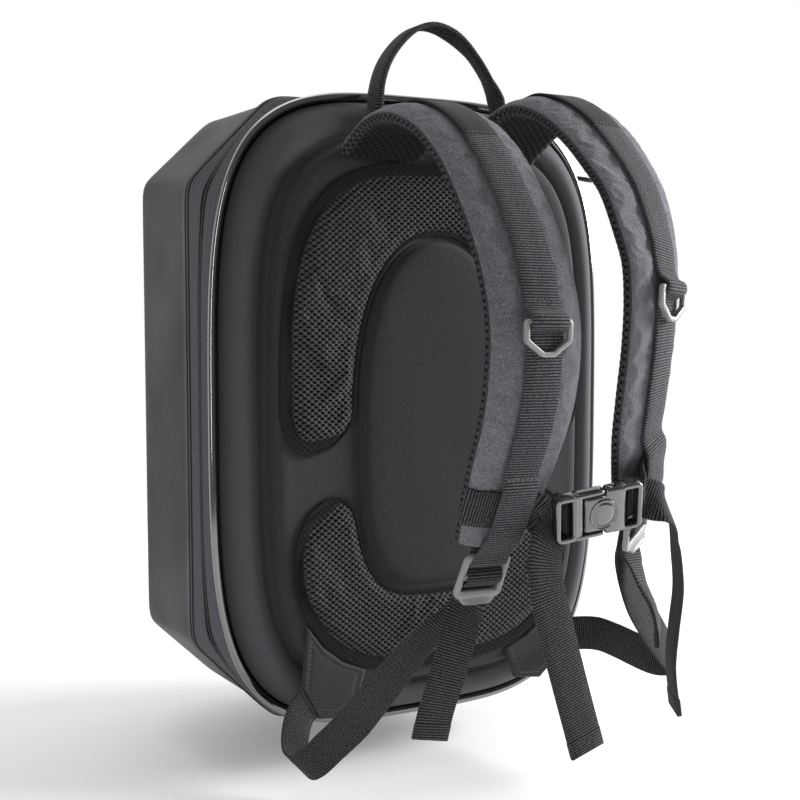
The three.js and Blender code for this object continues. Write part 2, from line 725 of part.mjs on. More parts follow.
function bucklePlug() {
  const [left, right, half] = [-BUCKLE_HALF_LENGTH, BUCKLE_SPLIT - GAP, BUCKLE_HALF_WIDTH];
  const inner = half - ARM.width;
  const shape = polygon([
    [left, 3 - half], [left + 3, -half], [ARM.to, -half], [ARM.to, -inner], [right, -inner],
    [right, inner], [ARM.to, inner], [ARM.to, half], [left + 3, half], [left, half - 3],
  ]);
  shape.holes.push(slotHole(-1));
  return plate(shape, BUCKLE_THICKNESS - 1, 0.8);
}

const CHEST_TAIL = {
  left: [
    row([-30, -215, -59], [-0.6, 0, 0.8]),
    row([-25, -213, -80], [-0.95, 0, 0.3]),
    row([-16, -211, -107], [-0.99, 0, -0.1]),
    row([-6, -210, -138], [-0.97, 0, -0.2]),
    row([1.5, -210, -162], [-0.96, 0, -0.25]),
    row([6.5, -210, -178], [-0.95, 0, -0.3]),
  ],
  right: [
    row([52, -218, -42], [-0.1, 0.5, 0.85]),
    row([65, -211, -58], [0.3, 0.7, 0.6]),
    row([72, -206, -76], [0.4, 0.85, 0.2]),
    row([76, -203, -95], [0.45, 0.89, 0]),
    row([75, -201, -118], [0.45, 0.89, 0]),
    row([74, -200, -140], [0.45, 0.89, 0]),
    row([78, -200, -168], [0.45, 0.89, 0]),
  ],
};

// Way of the chest webbing round the buckle's end bar: behind it, through the slot and out in front.
const BAR_LOOP = [
  { x: 27, out: -5.6 },
  { x: 22, out: -5.2 },
  { x: 19.2, out: -2.8 },
  { x: 18.6, out: 0 },
  { x: 19.2, out: 2.8 },
  { x: 22, out: 5.2 },
  { x: 26, out: 5.8 },
  { x: 30, out: 6.2 },
];
// Where the chest webbing is sewn to each strap: places across the strap, from its free end on.
const CHEST_SEAM = { left: [-24, -8, 6, 13], right: [14, 2, -12] };

function chestWebbing(strap, side) {
  const t = strap.rowAt(CHEST_Z[side]);
  const sign = side === 'left' ? -1 : 1;
  const up = strap.frame(t).along.clone().negate();
  const rows = [
    ...CHEST_SEAM[side].map((x) => ({ at: strap.place(t, x, CHEST_LIFT), across: up })),
    ...BAR_LOOP.map(({ x, out }) => onBuckle(sign * x, out)),
    ...CHEST_TAIL[side],
  ];
  return ribbon(rows, { steps: 2 });
}

const SLIDER_THICKNESS = 4;
const SLIDER_LIFT = SLIDER_THICKNESS / 2 + COIL.radius - COIL.sink + GAP;

// Zip slider: a wedge on the tape with a short grip, high on the right side of the case.
function zipSlider() {
  const outline = polygon([[-5, -7], [5, -7], [4, 5], [2, 8], [-2, 8], [-4, 5]]);
  const wedge = toSolid(plate(outline, SLIDER_THICKNESS, 0.8));
  const grip = toSolid(plate(roundedBox(5, 16, 2, 0, -6), 2.6, 0.6).translate(0, 0, 2.9));
  return fromSolid(wedge.add(grip));
}

// Assembly
addPiece('front_shell', frontShell(), 'shell');
addPiece('zip_tape_front', tapeBand(TAPE.front), 'tape');
addPiece('zip_coil', roundCord(inset(zipOutline(COIL.share), COIL.sink), COIL.y, COIL.radius, 4), 'coil');
addPiece('zip_tape_rear', tapeBand(TAPE.rear), 'tape');
addPiece('piping', roundCord(PIPED, PIPING_Y, PIPING_RADIUS, 6), 'piping');
addPiece('back_panel', backPanel(), 'moulded');
addPiece('center_pad', ovalPad(), 'moulded');
addPiece('upper_mesh_pad', bandPad({
  from: -15, to: 195, steps: 26, round: 0.09,
  inner: inset(OVAL, -2),
  outer: { halfWidth: 112, halfHeight: 161, power: 3.2 },
}), 'mesh');
addPiece('lower_mesh_pad', bandPad(LOWER_PAD), 'mesh');
addPiece('carry_handle', carryHandle(), 'webbing');

for (const side of ['left', 'right']) {
  const strap = new Strap(side);
  const lock = new Lock(strap);
  addPiece(`shoulder_strap_${side}`, strap.solid(PAD_SECTION), 'strap');
  addPiece(`strap_lining_${side}`, strap.solid(LINING_SECTION), 'mesh');
  addPiece(`strap_webbing_${side}`, strapWebbing(strap, lock, side), 'webbing');
  const ring = addPiece(`d_ring_${side}`, dRing(), 'ring');
  const ringRow = strap.rowAt(RING_Z[side]);
  const { across } = strap.frame(ringRow);
  const up = vec(0, 0, 1).addScaledVector(across, -across.z).normalize();
  new THREE.Matrix4().makeBasis(across, up, across.clone().cross(up))
    .setPosition(strap.place(ringRow, 0, RING_BAR_LIFT))
    .decompose(ring.position, ring.quaternion, ring.scale);
  const lockMesh = addPiece(`ladder_lock_${side}`, ladderLock(), 'lock');
  lock.matrix().decompose(lockMesh.position, lockMesh.quaternion, lockMesh.scale);
  addPiece(`lower_webbing_${side}`, lowerWebbing(lock, side), 'webbing');
  addPiece(`anchor_tab_${side}`, anchorTab(side), 'moulded');
  addPiece(`chest_webbing_${side}`, chestWebbing(strap, side), 'webbing');
}

for (const [name, geometry] of [['buckle_socket', buckleSocket()], ['buckle_plug', bucklePlug()]]) {
  const half = addPiece(name, geometry, 'buckle');
  BUCKLE_FRAME.decompose(half.position, half.quaternion, half.scale);
}

// The slider sits on the coil where the case's upper right corner is cut off.
const slider = addPiece('zip_slider', zipSlider(), 'coil');
const SLIDER_TURN = radians(50);
const SLIDER_STEP = radians(1);
const [before, seat, after] = outlineRing(
  zipOutline(COIL.share), COIL.y, [SLIDER_TURN - SLIDER_STEP, SLIDER_TURN, SLIDER_TURN + SLIDER_STEP]);
const [front, rear] = [TAPE.front[1], TAPE.rear[0]].map(
  ({ share, y }) => outlineRing(zipOutline(share), y, [SLIDER_TURN])[0]);
const uphill = after.sub(before).normalize();
const away = front.sub(rear).cross(uphill).normalize();
new THREE.Matrix4().makeBasis(uphill.clone().cross(away), uphill, away)
  .setPosition(seat.addScaledVector(away, SLIDER_LIFT))
  .decompose(slider.position, slider.quaternion, slider.scale);

export default backpack;
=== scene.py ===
# %% [markdown]
# A hard shell backpack, seen from the side that lies on the wearer's back. Its solids are already built and
# in place, in metres, hanging from a point under the carry handle. This lesson dresses them: each step
# works out one piece as a surface, puts a finish on it, and lets it stand in for its plain solid.

# %% Load the solids
import json
import math

import bpy
import numpy as np
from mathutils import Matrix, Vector


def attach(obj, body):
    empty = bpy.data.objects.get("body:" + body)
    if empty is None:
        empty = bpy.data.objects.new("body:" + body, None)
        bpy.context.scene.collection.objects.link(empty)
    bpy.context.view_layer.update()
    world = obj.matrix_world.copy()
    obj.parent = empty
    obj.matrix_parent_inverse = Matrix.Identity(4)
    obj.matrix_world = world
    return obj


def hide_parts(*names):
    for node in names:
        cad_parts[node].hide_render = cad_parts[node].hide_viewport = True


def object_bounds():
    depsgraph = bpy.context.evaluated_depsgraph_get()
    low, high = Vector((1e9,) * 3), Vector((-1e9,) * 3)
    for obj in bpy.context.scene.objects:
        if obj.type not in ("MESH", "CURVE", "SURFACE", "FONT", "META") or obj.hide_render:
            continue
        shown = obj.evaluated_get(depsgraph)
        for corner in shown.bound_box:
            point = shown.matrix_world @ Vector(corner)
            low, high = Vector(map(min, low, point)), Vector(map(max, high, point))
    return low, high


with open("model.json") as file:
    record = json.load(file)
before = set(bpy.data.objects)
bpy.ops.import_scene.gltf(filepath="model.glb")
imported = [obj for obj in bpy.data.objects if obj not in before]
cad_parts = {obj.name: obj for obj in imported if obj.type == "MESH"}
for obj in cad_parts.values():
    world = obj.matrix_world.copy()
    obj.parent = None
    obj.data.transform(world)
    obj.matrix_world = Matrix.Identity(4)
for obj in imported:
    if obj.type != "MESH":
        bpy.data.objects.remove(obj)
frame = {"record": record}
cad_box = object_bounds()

# %% [markdown]
# A case is easiest to measure from its own middle, so the shapes below are in millimetres from the centre of
# its rear rim: X to the wearer's right, Y towards the shell's front, Z up. The shell's flat front is a mount
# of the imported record, and it tells where that centre is in the shared frame.

# %% Case coordinates
SHELL_DEPTH = 150.0
mounts = {mount["name"]: np.array(mount["pos_m"]) for mount in frame["record"]["mounts"]}
CASE_CENTRE = mounts["front_face"] * 1000 - [0, SHELL_DEPTH, 0]


def to_frame(points):
    """Case millimetres to metres in the shared frame: shift by the case's centre, then divide by 1000."""
    return (np.asarray(points, float) + CASE_CENTRE) / 1000


print("case centre, mm:", CASE_CENTRE.round(2))

# %% [markdown]
# The portrait is taken from the wearer's left and slightly above, with a short telephoto lens. The place was
# found by lining the case's corners up with the picture; a camera needs no shift when it is simply pitched.

# %% Camera
scene = bpy.context.scene
CAMERA_AT = [-424.5, -784.0, 75.0]
CAMERA_LOOK = Vector((0.4757, 0.8761, -0.0785))
camera = bpy.data.objects.new("portrait_camera", bpy.data.cameras.new("portrait_camera"))
camera.data.sensor_width = 36.0
camera.data.lens = 58.5
camera.location = to_frame(CAMERA_AT)
camera.rotation_euler = CAMERA_LOOK.to_track_quat("-Z", "Y").to_euler()
scene.collection.objects.link(camera)
scene.camera = camera
print("camera at", [round(value, 3) for value in camera.location])

# %% [markdown]
# A mesh can be made point by point, but a surface that is a function of two parameters is a grid, and numpy
# computes a grid at once. A skin is such a grid with its faces: wrapping joins the last row or column to the
# first, and caps close the first and last row with a fan round their middle. The signed volume tells if the
# faces look outwards.

# %% Skins from grids
def facing_out(points, faces, uvs):
    """Reverse every face if the sum of signed tetrahedron volumes under the faces is negative."""
    volume = 0.0
    for face in faces:
        first = points[face[:, 0]]
        for k in range(1, face.shape[1] - 1):
            volume += np.einsum("ij,ij->", first, np.cross(points[face[:, k]], points[face[:, k + 1]]))
    if volume < 0:
        faces = [face[:, ::-1] for face in faces]
        uvs = [uv[:, ::-1] for uv in uvs]
    return faces, uvs


def skin(grid, wrap_u=False, wrap_v=True, caps=False, **marks):
    """A closed skin of a grid of points (rows u, columns v).

    Each corner (i, j) makes a face with (i+1, j), (i+1, j+1) and (i, j+1). The UV map is the mean length run
    along u and v, in metres. marks are numbers stored at every point, for the finish to read.
    """
    nu, nv = grid.shape[:2]
    index = np.arange(nu * nv).reshape(nu, nv)
    step_u = np.linalg.norm(np.diff(grid, axis=0, append=grid[:1]), axis=2).mean(1)
    step_v = np.linalg.norm(np.diff(grid, axis=1, append=grid[:, :1]), axis=2).mean(0)
    run_u = np.concatenate([[0], np.cumsum(step_u)])
    run_v = np.concatenate([[0], np.cumsum(step_v)])
    if wrap_u:
        index = np.vstack([index, index[:1]])
    if wrap_v:
        index = np.hstack([index, index[:, :1]])
    runs = np.meshgrid(run_u[:len(index)], run_v[:index.shape[1]], indexing="ij")
    corner_uv = np.stack(runs, axis=-1) / 1000

    def corners(values):
        quads = [values[:-1, :-1], values[1:, :-1], values[1:, 1:], values[:-1, 1:]]
        return np.stack(quads, axis=2).reshape((-1, 4) + values.shape[2:])

    points = grid.reshape(-1, 3)
    faces, uvs = [corners(index)], [corners(corner_uv)]
    marks = {name: np.broadcast_to(mark, (nu, nv)).ravel() for name, mark in marks.items()}
    if caps:
        for end, order in ((0, 1), (-1, -1)):
            row, flat = index[end, :nv][::order], corner_uv[end, :nv][::order]
            hub, hub_uv = np.full(nv, len(points)), np.broadcast_to(flat.mean(0), flat.shape)
            faces.append(np.stack([row, np.roll(row, -1), hub], axis=1))
            uvs.append(np.stack([flat, np.roll(flat, -1, axis=0), hub_uv], axis=1))
            points = np.vstack([points, points[row].mean(0)])
            marks = {name: np.append(mark, mark[row].mean()) for name, mark in marks.items()}
    faces, uvs = facing_out(points, faces, uvs)
    return {"points": points, "faces": faces, "uvs": uvs, "marks": marks}


def make_piece(name, skins, finish, node=None, body="pack"):
    """One object of one or more skins, riding on a body and standing in for a solid where one is named."""
    starts = np.cumsum([0] + [len(part["points"]) for part in skins])
    points = np.concatenate([part["points"] for part in skins])
    faces = [face + start for part, start in zip(skins, starts) for face in part["faces"]]
    uvs = [uv for part in skins for uv in part["uvs"]]
    sizes = np.concatenate([np.full(len(face), face.shape[1]) for face in faces])
    corners = np.concatenate([face.ravel() for face in faces])
    mesh = bpy.data.meshes.new(name)
    mesh.vertices.add(len(points))
    mesh.vertices.foreach_set("co", to_frame(points).astype(np.float32).ravel())
    mesh.loops.add(len(corners))
    mesh.loops.foreach_set("vertex_index", corners.astype(np.int32))
    mesh.polygons.add(len(sizes))
    mesh.polygons.foreach_set("loop_start", (np.cumsum(sizes) - sizes).astype(np.int32))
    mesh.polygons.foreach_set("use_smooth", np.ones(len(sizes), bool))
    mesh.update(calc_edges=True)
    mesh.uv_layers.new(name="cloth").data.foreach_set(
        "uv", np.concatenate([uv.reshape(-1, 2) for uv in uvs]).astype(np.float32).ravel())
    for mark in skins[0]["marks"]:
        values = np.concatenate([part["marks"].get(mark, np.zeros(len(part["points"]))) for part in skins])
        mesh.attributes.new(mark, "FLOAT", "POINT").data.foreach_set("value", values.astype(np.float32))
    mesh.materials.append(finish)
    piece = bpy.data.objects.new(name, mesh)
    scene.collection.objects.link(piece)
    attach(piece, body)
    if node:
        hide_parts(node)
    print(f"{name}: {len(points)} points, {len(sizes)} faces")
    return piece


# %% [markdown]
# Outlines of the case are straight sides joined by a power: with a high power the corners between them stay
# sharp, and with a low one they melt into a soft pillow. The reach of an outline at an angle is the distance
# from the middle to its edge, and that is all a ring of points needs.

# %% Outlines and rings
RING_STEPS = 480


def full_turn(steps):
    """Angles evenly spaced round a full turn."""
    return np.linspace(0, 2 * np.pi, steps, endpoint=False)


AROUND = full_turn(RING_STEPS)
SOFT_AROUND = AROUND[::2]


def box_outline(half_width, half_height, power, cut=None, below=None):
    """An outline of two pairs of straight sides, with slanted sides of legs cut across the corners.

    The lower half may have a power of its own.
    """
    return {"half": (half_width, half_height), "power": power, "cut": cut, "below": below or power}


def inset(outline, by):
    """The same outline with its straight sides moved in by a distance."""
    half_width, half_height = outline["half"]
    return {**outline, "half": (half_width - by, half_height - by)}


def reach(outline, angle=AROUND):
    """Distance to the edge: one over the power mean of how far each side cuts the unit direction."""
    c, s = np.abs(np.cos(angle)), np.abs(np.sin(angle))
    half_width, half_height = outline["half"]
    sides = [c / half_width, s / half_height]
    if outline["cut"]:
        cut_x, cut_z = outline["cut"]
        along_x = half_width - cut_x + half_height * cut_x / cut_z
        sides.append(c / along_x + s * cut_x / (along_x * cut_z))
    sides = np.array(sides)
    most = sides.max(0)
    power = np.where(np.sin(angle) < 0, outline["below"], outline["power"])
    return 1 / (most * ((sides / most) ** power).sum(0) ** (1 / power))


def ring(outline, y, angle=AROUND):
    """Points at an outline's reach, all at one depth y."""
    r = reach(outline, angle)
    return np.stack([r * np.cos(angle), np.broadcast_to(y, r.shape), r * np.sin(angle)], axis=-1)


def between(a, b, shares):
    """Rings at shares of the straight way from ring a to ring b."""
    shares = np.asarray(shares, float)[:, None, None]
    return a + (b - a) * shares


def rounded(a, edge, b, steps=6):
    """Rings round an edge: a quadratic curve from a to b that is pulled towards the edge."""
    t = np.linspace(0, 1, steps)[:, None, None]
    return (1 - t) ** 2 * a + 2 * t * (1 - t) * edge + t ** 2 * b


RIM = box_outline(150, 205, 70, (57, 58))
SHOULDER = box_outline(147, 201, 90, (50, 48))
FRONT = box_outline(112, 168, 90, (50, 52))
PIPED = box_outline(144.2, 204, 3.86)
PANEL = inset(PIPED, 3.4)
PLATEAU = box_outline(115, 176.5, 4)
OVAL = box_outline(57, 112, 2.25, below=3.6)
print("rim reach across and up:", reach(RIM)[[0, RING_STEPS // 4]].round(1))

# %% [markdown]
# Finishes come as node trees. Each has one Principled shader; a value that is the same all over the surface
# sits on the shader's own socket, and only what varies, such as colour, roughness or bump, is wired. A small
# class keeps the wiring short, so that each finish reads like a recipe.

# %% Finish recipes
MIX_COLOURS, MIX_RESULT = (6, 7), 2


class Finish:
    """A material around one Principled shader."""

    def __init__(self, name, constants):
        self.material = bpy.data.materials.new(name)
        self.material.use_nodes = True
        self.tree = self.material.node_tree
        self.shader = self.tree.nodes["Principled BSDF"]
        for socket, value in constants.items():
            self.shader.inputs[socket].default_value = value

    def node(self, kind, inputs=(), **settings):
        """Add a node; inputs are pairs of socket and value, and a value may be another node's output."""
        node = self.tree.nodes.new("ShaderNode" + kind)
        for name, value in settings.items():
            setattr(node, name, value)
        for socket, value in inputs:
            if isinstance(value, bpy.types.NodeSocket):
                self.tree.links.new(value, node.inputs[socket])
            else:
                node.inputs[socket].default_value = value
        return node

    def wire(self, socket, value):
        self.tree.links.new(value, self.shader.inputs[socket])

    def coords(self, kind="Object", turn=(0, 0, 0)):
        """Coordinates of the piece, turned by angles about its axes."""
        place = self.node("TexCoord").outputs[kind]
        if any(turn):
            place = self.node("Mapping", [("Vector", place), ("Rotation", turn)]).outputs[0]
        return place

    def mark(self, name):
        return self.node("Attribute", attribute_name=name).outputs["Fac"]

    def noise(self, coords, scale, detail=2.0):
        inputs = [("Vector", coords), ("Scale", scale), ("Detail", detail)]
        return self.node("TexNoise", inputs).outputs["Fac"]

    def waves(self, coords, direction, pitch):
        """Sine bands of a pitch in metres: Blender's bands repeat every 2 pi / 20 at scale 1."""
        scale = 2 * math.pi / 20 / pitch
        return self.node("TexWave", [("Vector", coords), ("Scale", scale)],
                         bands_direction=direction).outputs["Fac"]

    def math(self, operation, a, b=0.0):
        return self.node("Math", [(0, a), (1, b)], operation=operation).outputs[0]

    def spread(self, value, low, high, start=0.0, end=1.0):
        """A value's range from low to high made to run from start to end, and no further."""
        limits = {"From Min": low, "From Max": high, "To Min": start, "To Max": end}
        return self.node("MapRange", [("Value", value), *limits.items()]).outputs[0]

    def mix(self, share, a, b):
        """Colours a and b mixed by a share; each may be a colour or another node's output."""
        node = self.node("Mix", [("Factor", share)], data_type="RGBA")
        for socket, value in zip(MIX_COLOURS, (a, b)):
            if isinstance(value, bpy.types.NodeSocket):
                self.tree.links.new(value, node.inputs[socket])
            else:
                node.inputs[socket].default_value = (*value, 1.0)
        return node.outputs[MIX_RESULT]

    def bump(self, height, distance):
        node = self.node("Bump", [("Height", height), ("Distance", distance)])
        self.wire("Normal", node.outputs["Normal"])


NEUTRAL = (1.0, 1.0, 1.0)
CLOTH_TINT = (1.0, 0.98, 1.09)
SHELL_TINT = (0.82, 1.0, 1.14)
SHELL_GLEAM = (0.78, 0.92, 1.0, 1.0)


def grey(value, tint=NEUTRAL):
    """A linear colour from a screen grey of 0 to 255, with a tint."""
    linear = ((value / 255 + 0.055) / 1.055) ** 2.4
    return tuple(linear * part for part in tint)


def cloth_weave(finish, coords, across, along):
    """Height of a plain weave: the product of sine bands both ways, high where threads cross."""
    warp = finish.math("SUBTRACT", finish.waves(coords, "X", across), 0.5)
    weft = finish.math("SUBTRACT", finish.waves(coords, "Y", along), 0.5)
    return finish.math("MULTIPLY", warp, weft)


print("grey of 128 is", round(grey(128)[1], 3), "linear")

# %% [markdown]
# The shell is moulded plastic with a satin skin. A fine grain breaks its reflections, and a slow mottling in
# its roughness keeps large flat walls from looking like paper. The small hardware is the same plastic with
# less grain, and the rings are painted metal.

# %% Moulded plastic finishes
def sockets(constants):
    """Shader sockets by name: a keyword's underscores become spaces."""
    return {name.replace("_", " "): value for name, value in constants.items()}


def moulded_plastic(name, tone, roughness, grain, tint=NEUTRAL, **constants):
    """Plastic with a fine grain: noise bump, a slow change of roughness and a faint change of tone."""
    finish = Finish(name, sockets(constants))
    place = finish.coords()
    slow = finish.noise(place, 18.0, 3.0)
    fine = finish.noise(place, 1400.0)
    finish.wire("Base Color", finish.mix(slow, grey(tone * 0.88, tint), grey(tone * 1.12, tint)))
    finish.wire("Roughness", finish.spread(slow, 0.3, 0.7, roughness - 0.06, roughness + 0.06))
    finish.bump(fine, grain)
    return finish.material


SHELL_PLASTIC = moulded_plastic("shell_plastic", 35, 0.42, 0.00005, SHELL_TINT, Specular_IOR_Level=0.1,
                                Specular_Tint=SHELL_GLEAM)
PIPING_PLASTIC = moulded_plastic("piping_plastic", 14, 0.16, 0.00001, Specular_IOR_Level=1.0, Coat_Weight=1.0,
                                 Coat_Roughness=0.1, Coat_IOR=2.2)
LOCK_PLASTIC = moulded_plastic("lock_plastic", 134, 0.32, 0.00002, Coat_Weight=0.3, Coat_Roughness=0.15)
BUCKLE_PLASTIC = moulded_plastic("buckle_plastic", 34, 0.2, 0.00002, Specular_IOR_Level=0.8, Coat_Weight=1.0,
                                 Coat_Roughness=0.1, Coat_IOR=1.9)
RING_ENAMEL = moulded_plastic("ring_enamel", 152, 0.36, 0.00002, Metallic=0.4)
COIL_NYLON = moulded_plastic("coil_nylon", 18, 0.4, 0.00002)
print("plastic finishes:", len(bpy.data.materials))

# %% [markdown]
# Most of the backpack is cloth. The back is a fine plain weave moulded over foam, the straps a coarser one,
# the webbing is ribbed, and the spacer mesh is knitted with open holes. Flat pieces read the pattern from
# their place; strips that bend read it from their own length and width.

# %% Cloth finishes
CLOTH_SHADER = {"Roughness": 0.9, "Specular IOR Level": 0.12, "Sheen Weight": 0.06, "Sheen Roughness": 0.5}


def woven_cloth(name, tone, thread, kind="Object", contrast=0.3, depth=0.0001, **constants):
    """Plain weave: crossing threads and uneven yarn as bump and tone; the mark stretched paints it paler."""
    finish = Finish(name, {**CLOTH_SHADER, **sockets(constants)})
    place = finish.coords(kind, (math.pi / 2, 0, 0) if kind == "Object" else (0, 0, 0))
    weave = finish.spread(cloth_weave(finish, place, thread, thread), -0.25, 0.25)
    yarn = finish.spread(finish.noise(place, 1.1 / thread, 1.0), 0.3, 0.7)
    height = finish.math("ADD", finish.math("MULTIPLY", weave, 0.7), finish.math("MULTIPLY", yarn, 0.3))
    dark, light = grey(tone * (1 - contrast), CLOTH_TINT), grey(tone * (1 + contrast), CLOTH_TINT)
    woven = finish.mix(height, dark, light)
    # painted highlight: where the mark is set, the cloth is painted paler
    stretched = finish.spread(finish.mark("stretched"), 0.0, 1.0, 0.0, 0.9)
    finish.wire("Base Color", finish.mix(stretched, woven, grey(tone * 1.7, CLOTH_TINT)))
    finish.bump(height, depth)
    return finish.material


def uneven_yarn(finish, noise, tone):
    """Height of the yarn from a noise, and a tone that follows it by 30 percent either way."""
    yarn = finish.spread(noise, 0.3, 0.7)
    return yarn, finish.mix(yarn, grey(tone * 0.7, CLOTH_TINT), grey(tone * 1.3, CLOTH_TINT))


def ribbed_webbing(name, tone):
    """Webbing: pale ribs, painted shade in the grooves between them, uneven yarn; the mark cover turns it
    smooth.
    """
    finish = Finish(name, CLOTH_SHADER)
    yarn, base = uneven_yarn(finish, finish.noise(finish.coords("UV"), 900.0, 1.0), tone)
    # painted shade: the grooves between ribs are painted at 12 percent of the tone
    shaded = finish.mix(finish.mark("groove"), base, grey(tone * 0.12, CLOTH_TINT))
    finish.wire("Base Color", finish.mix(finish.mark("cover"), shaded, grey(tone * 0.42, CLOTH_TINT)))
    finish.bump(yarn, 0.0001)
    return finish.material


def spacer_mesh(name, tone, pressing):
    """Knitted mesh: pale yarn between holes painted almost black, a painted shade inside them.

    Pressed border and painted underside shade: pressing is their tone as a share of the yarn's.
    """
    finish = Finish(name, CLOTH_SHADER)
    yarn, base = uneven_yarn(finish, finish.noise(finish.coords(), 1300.0), tone)
    # painted shade: on a strap's lining this mark darkens the underside under the arch; on the pads it is the
    # pressed border
    pressed = finish.mix(finish.mark("border"), base, grey(tone * pressing, CLOTH_TINT))
    # painted shade: the holes are painted almost black
    finish.wire("Base Color", finish.mix(finish.mark("hole"), pressed, grey(4)))
    finish.bump(yarn, 0.00015)
    return finish.material


MOULDED_CLOTH = woven_cloth("moulded_cloth", 46, 0.0015, contrast=0.42, Roughness=0.75,
                            Specular_IOR_Level=0.2)
OVAL_CLOTH = woven_cloth("oval_cloth", 47, 0.0015, contrast=0.42)
STRAP_CLOTH = woven_cloth("strap_cloth", 89, 0.0017, "UV", 0.6, 0.00025)
TAPE_CLOTH = woven_cloth("tape_cloth", 86, 0.0009, "UV", 0.3)
WEBBING_CLOTH = ribbed_webbing("webbing_cloth", 92)
DARK_WEBBING = ribbed_webbing("dark_webbing_cloth", 76)
MESH_CLOTH = spacer_mesh("mesh_cloth", 82, 0.37)
# painted shade: the lining is a darker copy of the mesh finish, for the shade under the straps
LINING_MESH = spacer_mesh("lining_mesh_cloth", 66, 0.42)
THREAD = moulded_plastic("sewing_thread", 92, 0.7, 0.00001, CLOTH_TINT)
print("finishes:", len(bpy.data.materials))

# %% [markdown]
# The hard shell: a tub with a lip at its rim, walls that lean in slightly, and a bevel round a flat front.
# Edges of a moulding are never sharp, so each one is a short curve of rings between its two faces. A groove
# runs round the lip where the moulding tool parts.

# %% Hard shell
SHELL_WALL = 2.5
SIDE_DEPTH = 105.0
LIP_DEPTH = 8.0
LIP_STEP = 1.7


def hard_shell():
    """Rings from the flat front's middle over the bevel and the walls to the lip, and back inside."""
    lip = [(0.9, 0.0), (0.25, 0.25), (0.0, 0.9), (0.0, 3.0), (0.5, 3.3), (0.5, 3.9), (0.0, 4.2),
           (0.0, 7.0), (0.3, 7.7), (1.2, 8.4)]
    lip_rings = np.stack([ring(inset(RIM, by), y) for by, y in lip])
    foot = ring(inset(RIM, LIP_STEP), LIP_DEPTH + LIP_STEP)
    shoulder, front = ring(SHOULDER, SIDE_DEPTH), ring(FRONT, SHELL_DEPTH)
    flat = ring(inset(FRONT, 7), SHELL_DEPTH)
    wall = between(foot, shoulder, np.linspace(0, 0.94, 12))
    facet = between(shoulder, front, np.linspace(0.12, 0.9, 10))
    bend = rounded(wall[-1], shoulder, facet[0])[1:-1]
    front_edge = rounded(facet[-1], front, flat)[1:]
    middle = flat.mean(0)
    field = between(flat, middle[None], np.linspace(0.1, 0.97, 10))
    outer = np.concatenate([lip_rings, foot[None], wall[1:], bend, facet, front_edge, field])
    inside = [(RIM, 0.0), (SHOULDER, SIDE_DEPTH - 1), (FRONT, SHELL_DEPTH - SHELL_WALL)]
    inner = np.stack([ring(inset(outline, SHELL_WALL), y) for outline, y in inside])
    back = between(inner[-1], middle[None] - [0, SHELL_WALL, 0], [0.5, 0.97])
    return np.concatenate([outer[::-1], inner, back])


make_piece("hard_shell", [skin(hard_shell(), caps=True)], SHELL_PLASTIC, "front_shell")

# %% [markdown]
# The zip runs all round, between the shell's lip and a piped seam. Its tape is a ribbed band in two halves
# with a coil between them, and the piping is a glossy cord. The tape leans in from the rim to the piping, so
# its rings lie between those two outlines.

# %% Zip tape, coil and piping
PIPING_Y = -25.0
PIPING_RADIUS = 3.0
TAPE_RIB = 0.35
TAPE_THICKNESS = 1.5
ZIP_START, ZIP_END = inset(RIM, 0.6), inset(PIPED, -1.4)


def zip_ring(share, y, sink=0.0, angle=AROUND):
    """A ring at a share of the way from the rim's reach to the piping's, sunk in by a distance."""
    start = reach(ZIP_START, angle)
    r = start + (reach(ZIP_END, angle) - start) * share - sink
    return np.stack([r * np.cos(angle), np.full_like(r, y), r * np.sin(angle)], axis=-1)


def tape_band(start, end, ribs):
    """A thin band whose outer face rises and falls in ribs along its width."""
    t = np.linspace(0, 1, 6 * ribs + 1)
    swell = TAPE_RIB * np.cos(2 * np.pi * ribs * t) - TAPE_RIB
    lean = [start[0] + (end[0] - start[0]) * t, start[1] + (end[1] - start[1]) * t]
    outer = [zip_ring(share, y, -lift) for share, y, lift in zip(*lean, swell)]
    inner = [zip_ring(share, y, TAPE_THICKNESS) for share, y in (end, start)]
    return np.stack(outer + inner)


TAPE_FRONT = ((0.0, -0.4), (0.4, -9.4))
TAPE_REAR = ((0.6, -13.2), (1.0, -21.6))
make_piece("zip_tape_front_cloth", [skin(tape_band(*TAPE_FRONT, 3), wrap_u=True)], TAPE_CLOTH,
           "zip_tape_front")
make_piece("zip_tape_rear_cloth", [skin(tape_band(*TAPE_REAR, 3), wrap_u=True)], TAPE_CLOTH,
           "zip_tape_rear")


def length_run(points):
    """Length from the first point of a path to each of its points."""
    return np.concatenate([[0], np.cumsum(np.linalg.norm(np.diff(points, axis=0), axis=1))])


def at_places(places, run, points):
    """Points at places of a path whose points lie at run, each coordinate straight in between."""
    return np.stack([np.interp(places, run, column) for column in points.T], axis=-1)


def along_ring(points, pitch):
    """Points evenly spaced by length on a closed ring."""
    closed = np.vstack([points, points[:1]])
    run = length_run(closed)
    places = np.linspace(0, run[-1], int(run[-1] / pitch), endpoint=False)
    return at_places(places, run, closed), places


def ring_tube(path, radius_y, radius_out, sides):
    """A tube on a ring in a plane of constant y: sides run from out of the ring to along y and back."""
    turn = full_turn(sides)
    out = path * [1, 0, 1] / np.linalg.norm(path * [1, 0, 1], axis=1, keepdims=True)
    lift = np.multiply.outer(np.broadcast_to(radius_out, len(path)), np.cos(turn))
    slide = np.multiply.outer(np.broadcast_to(radius_y, len(path)), np.sin(turn))
    return path[:, None] + out[:, None] * lift[..., None] + np.array([0, 1, 0]) * slide[..., None]


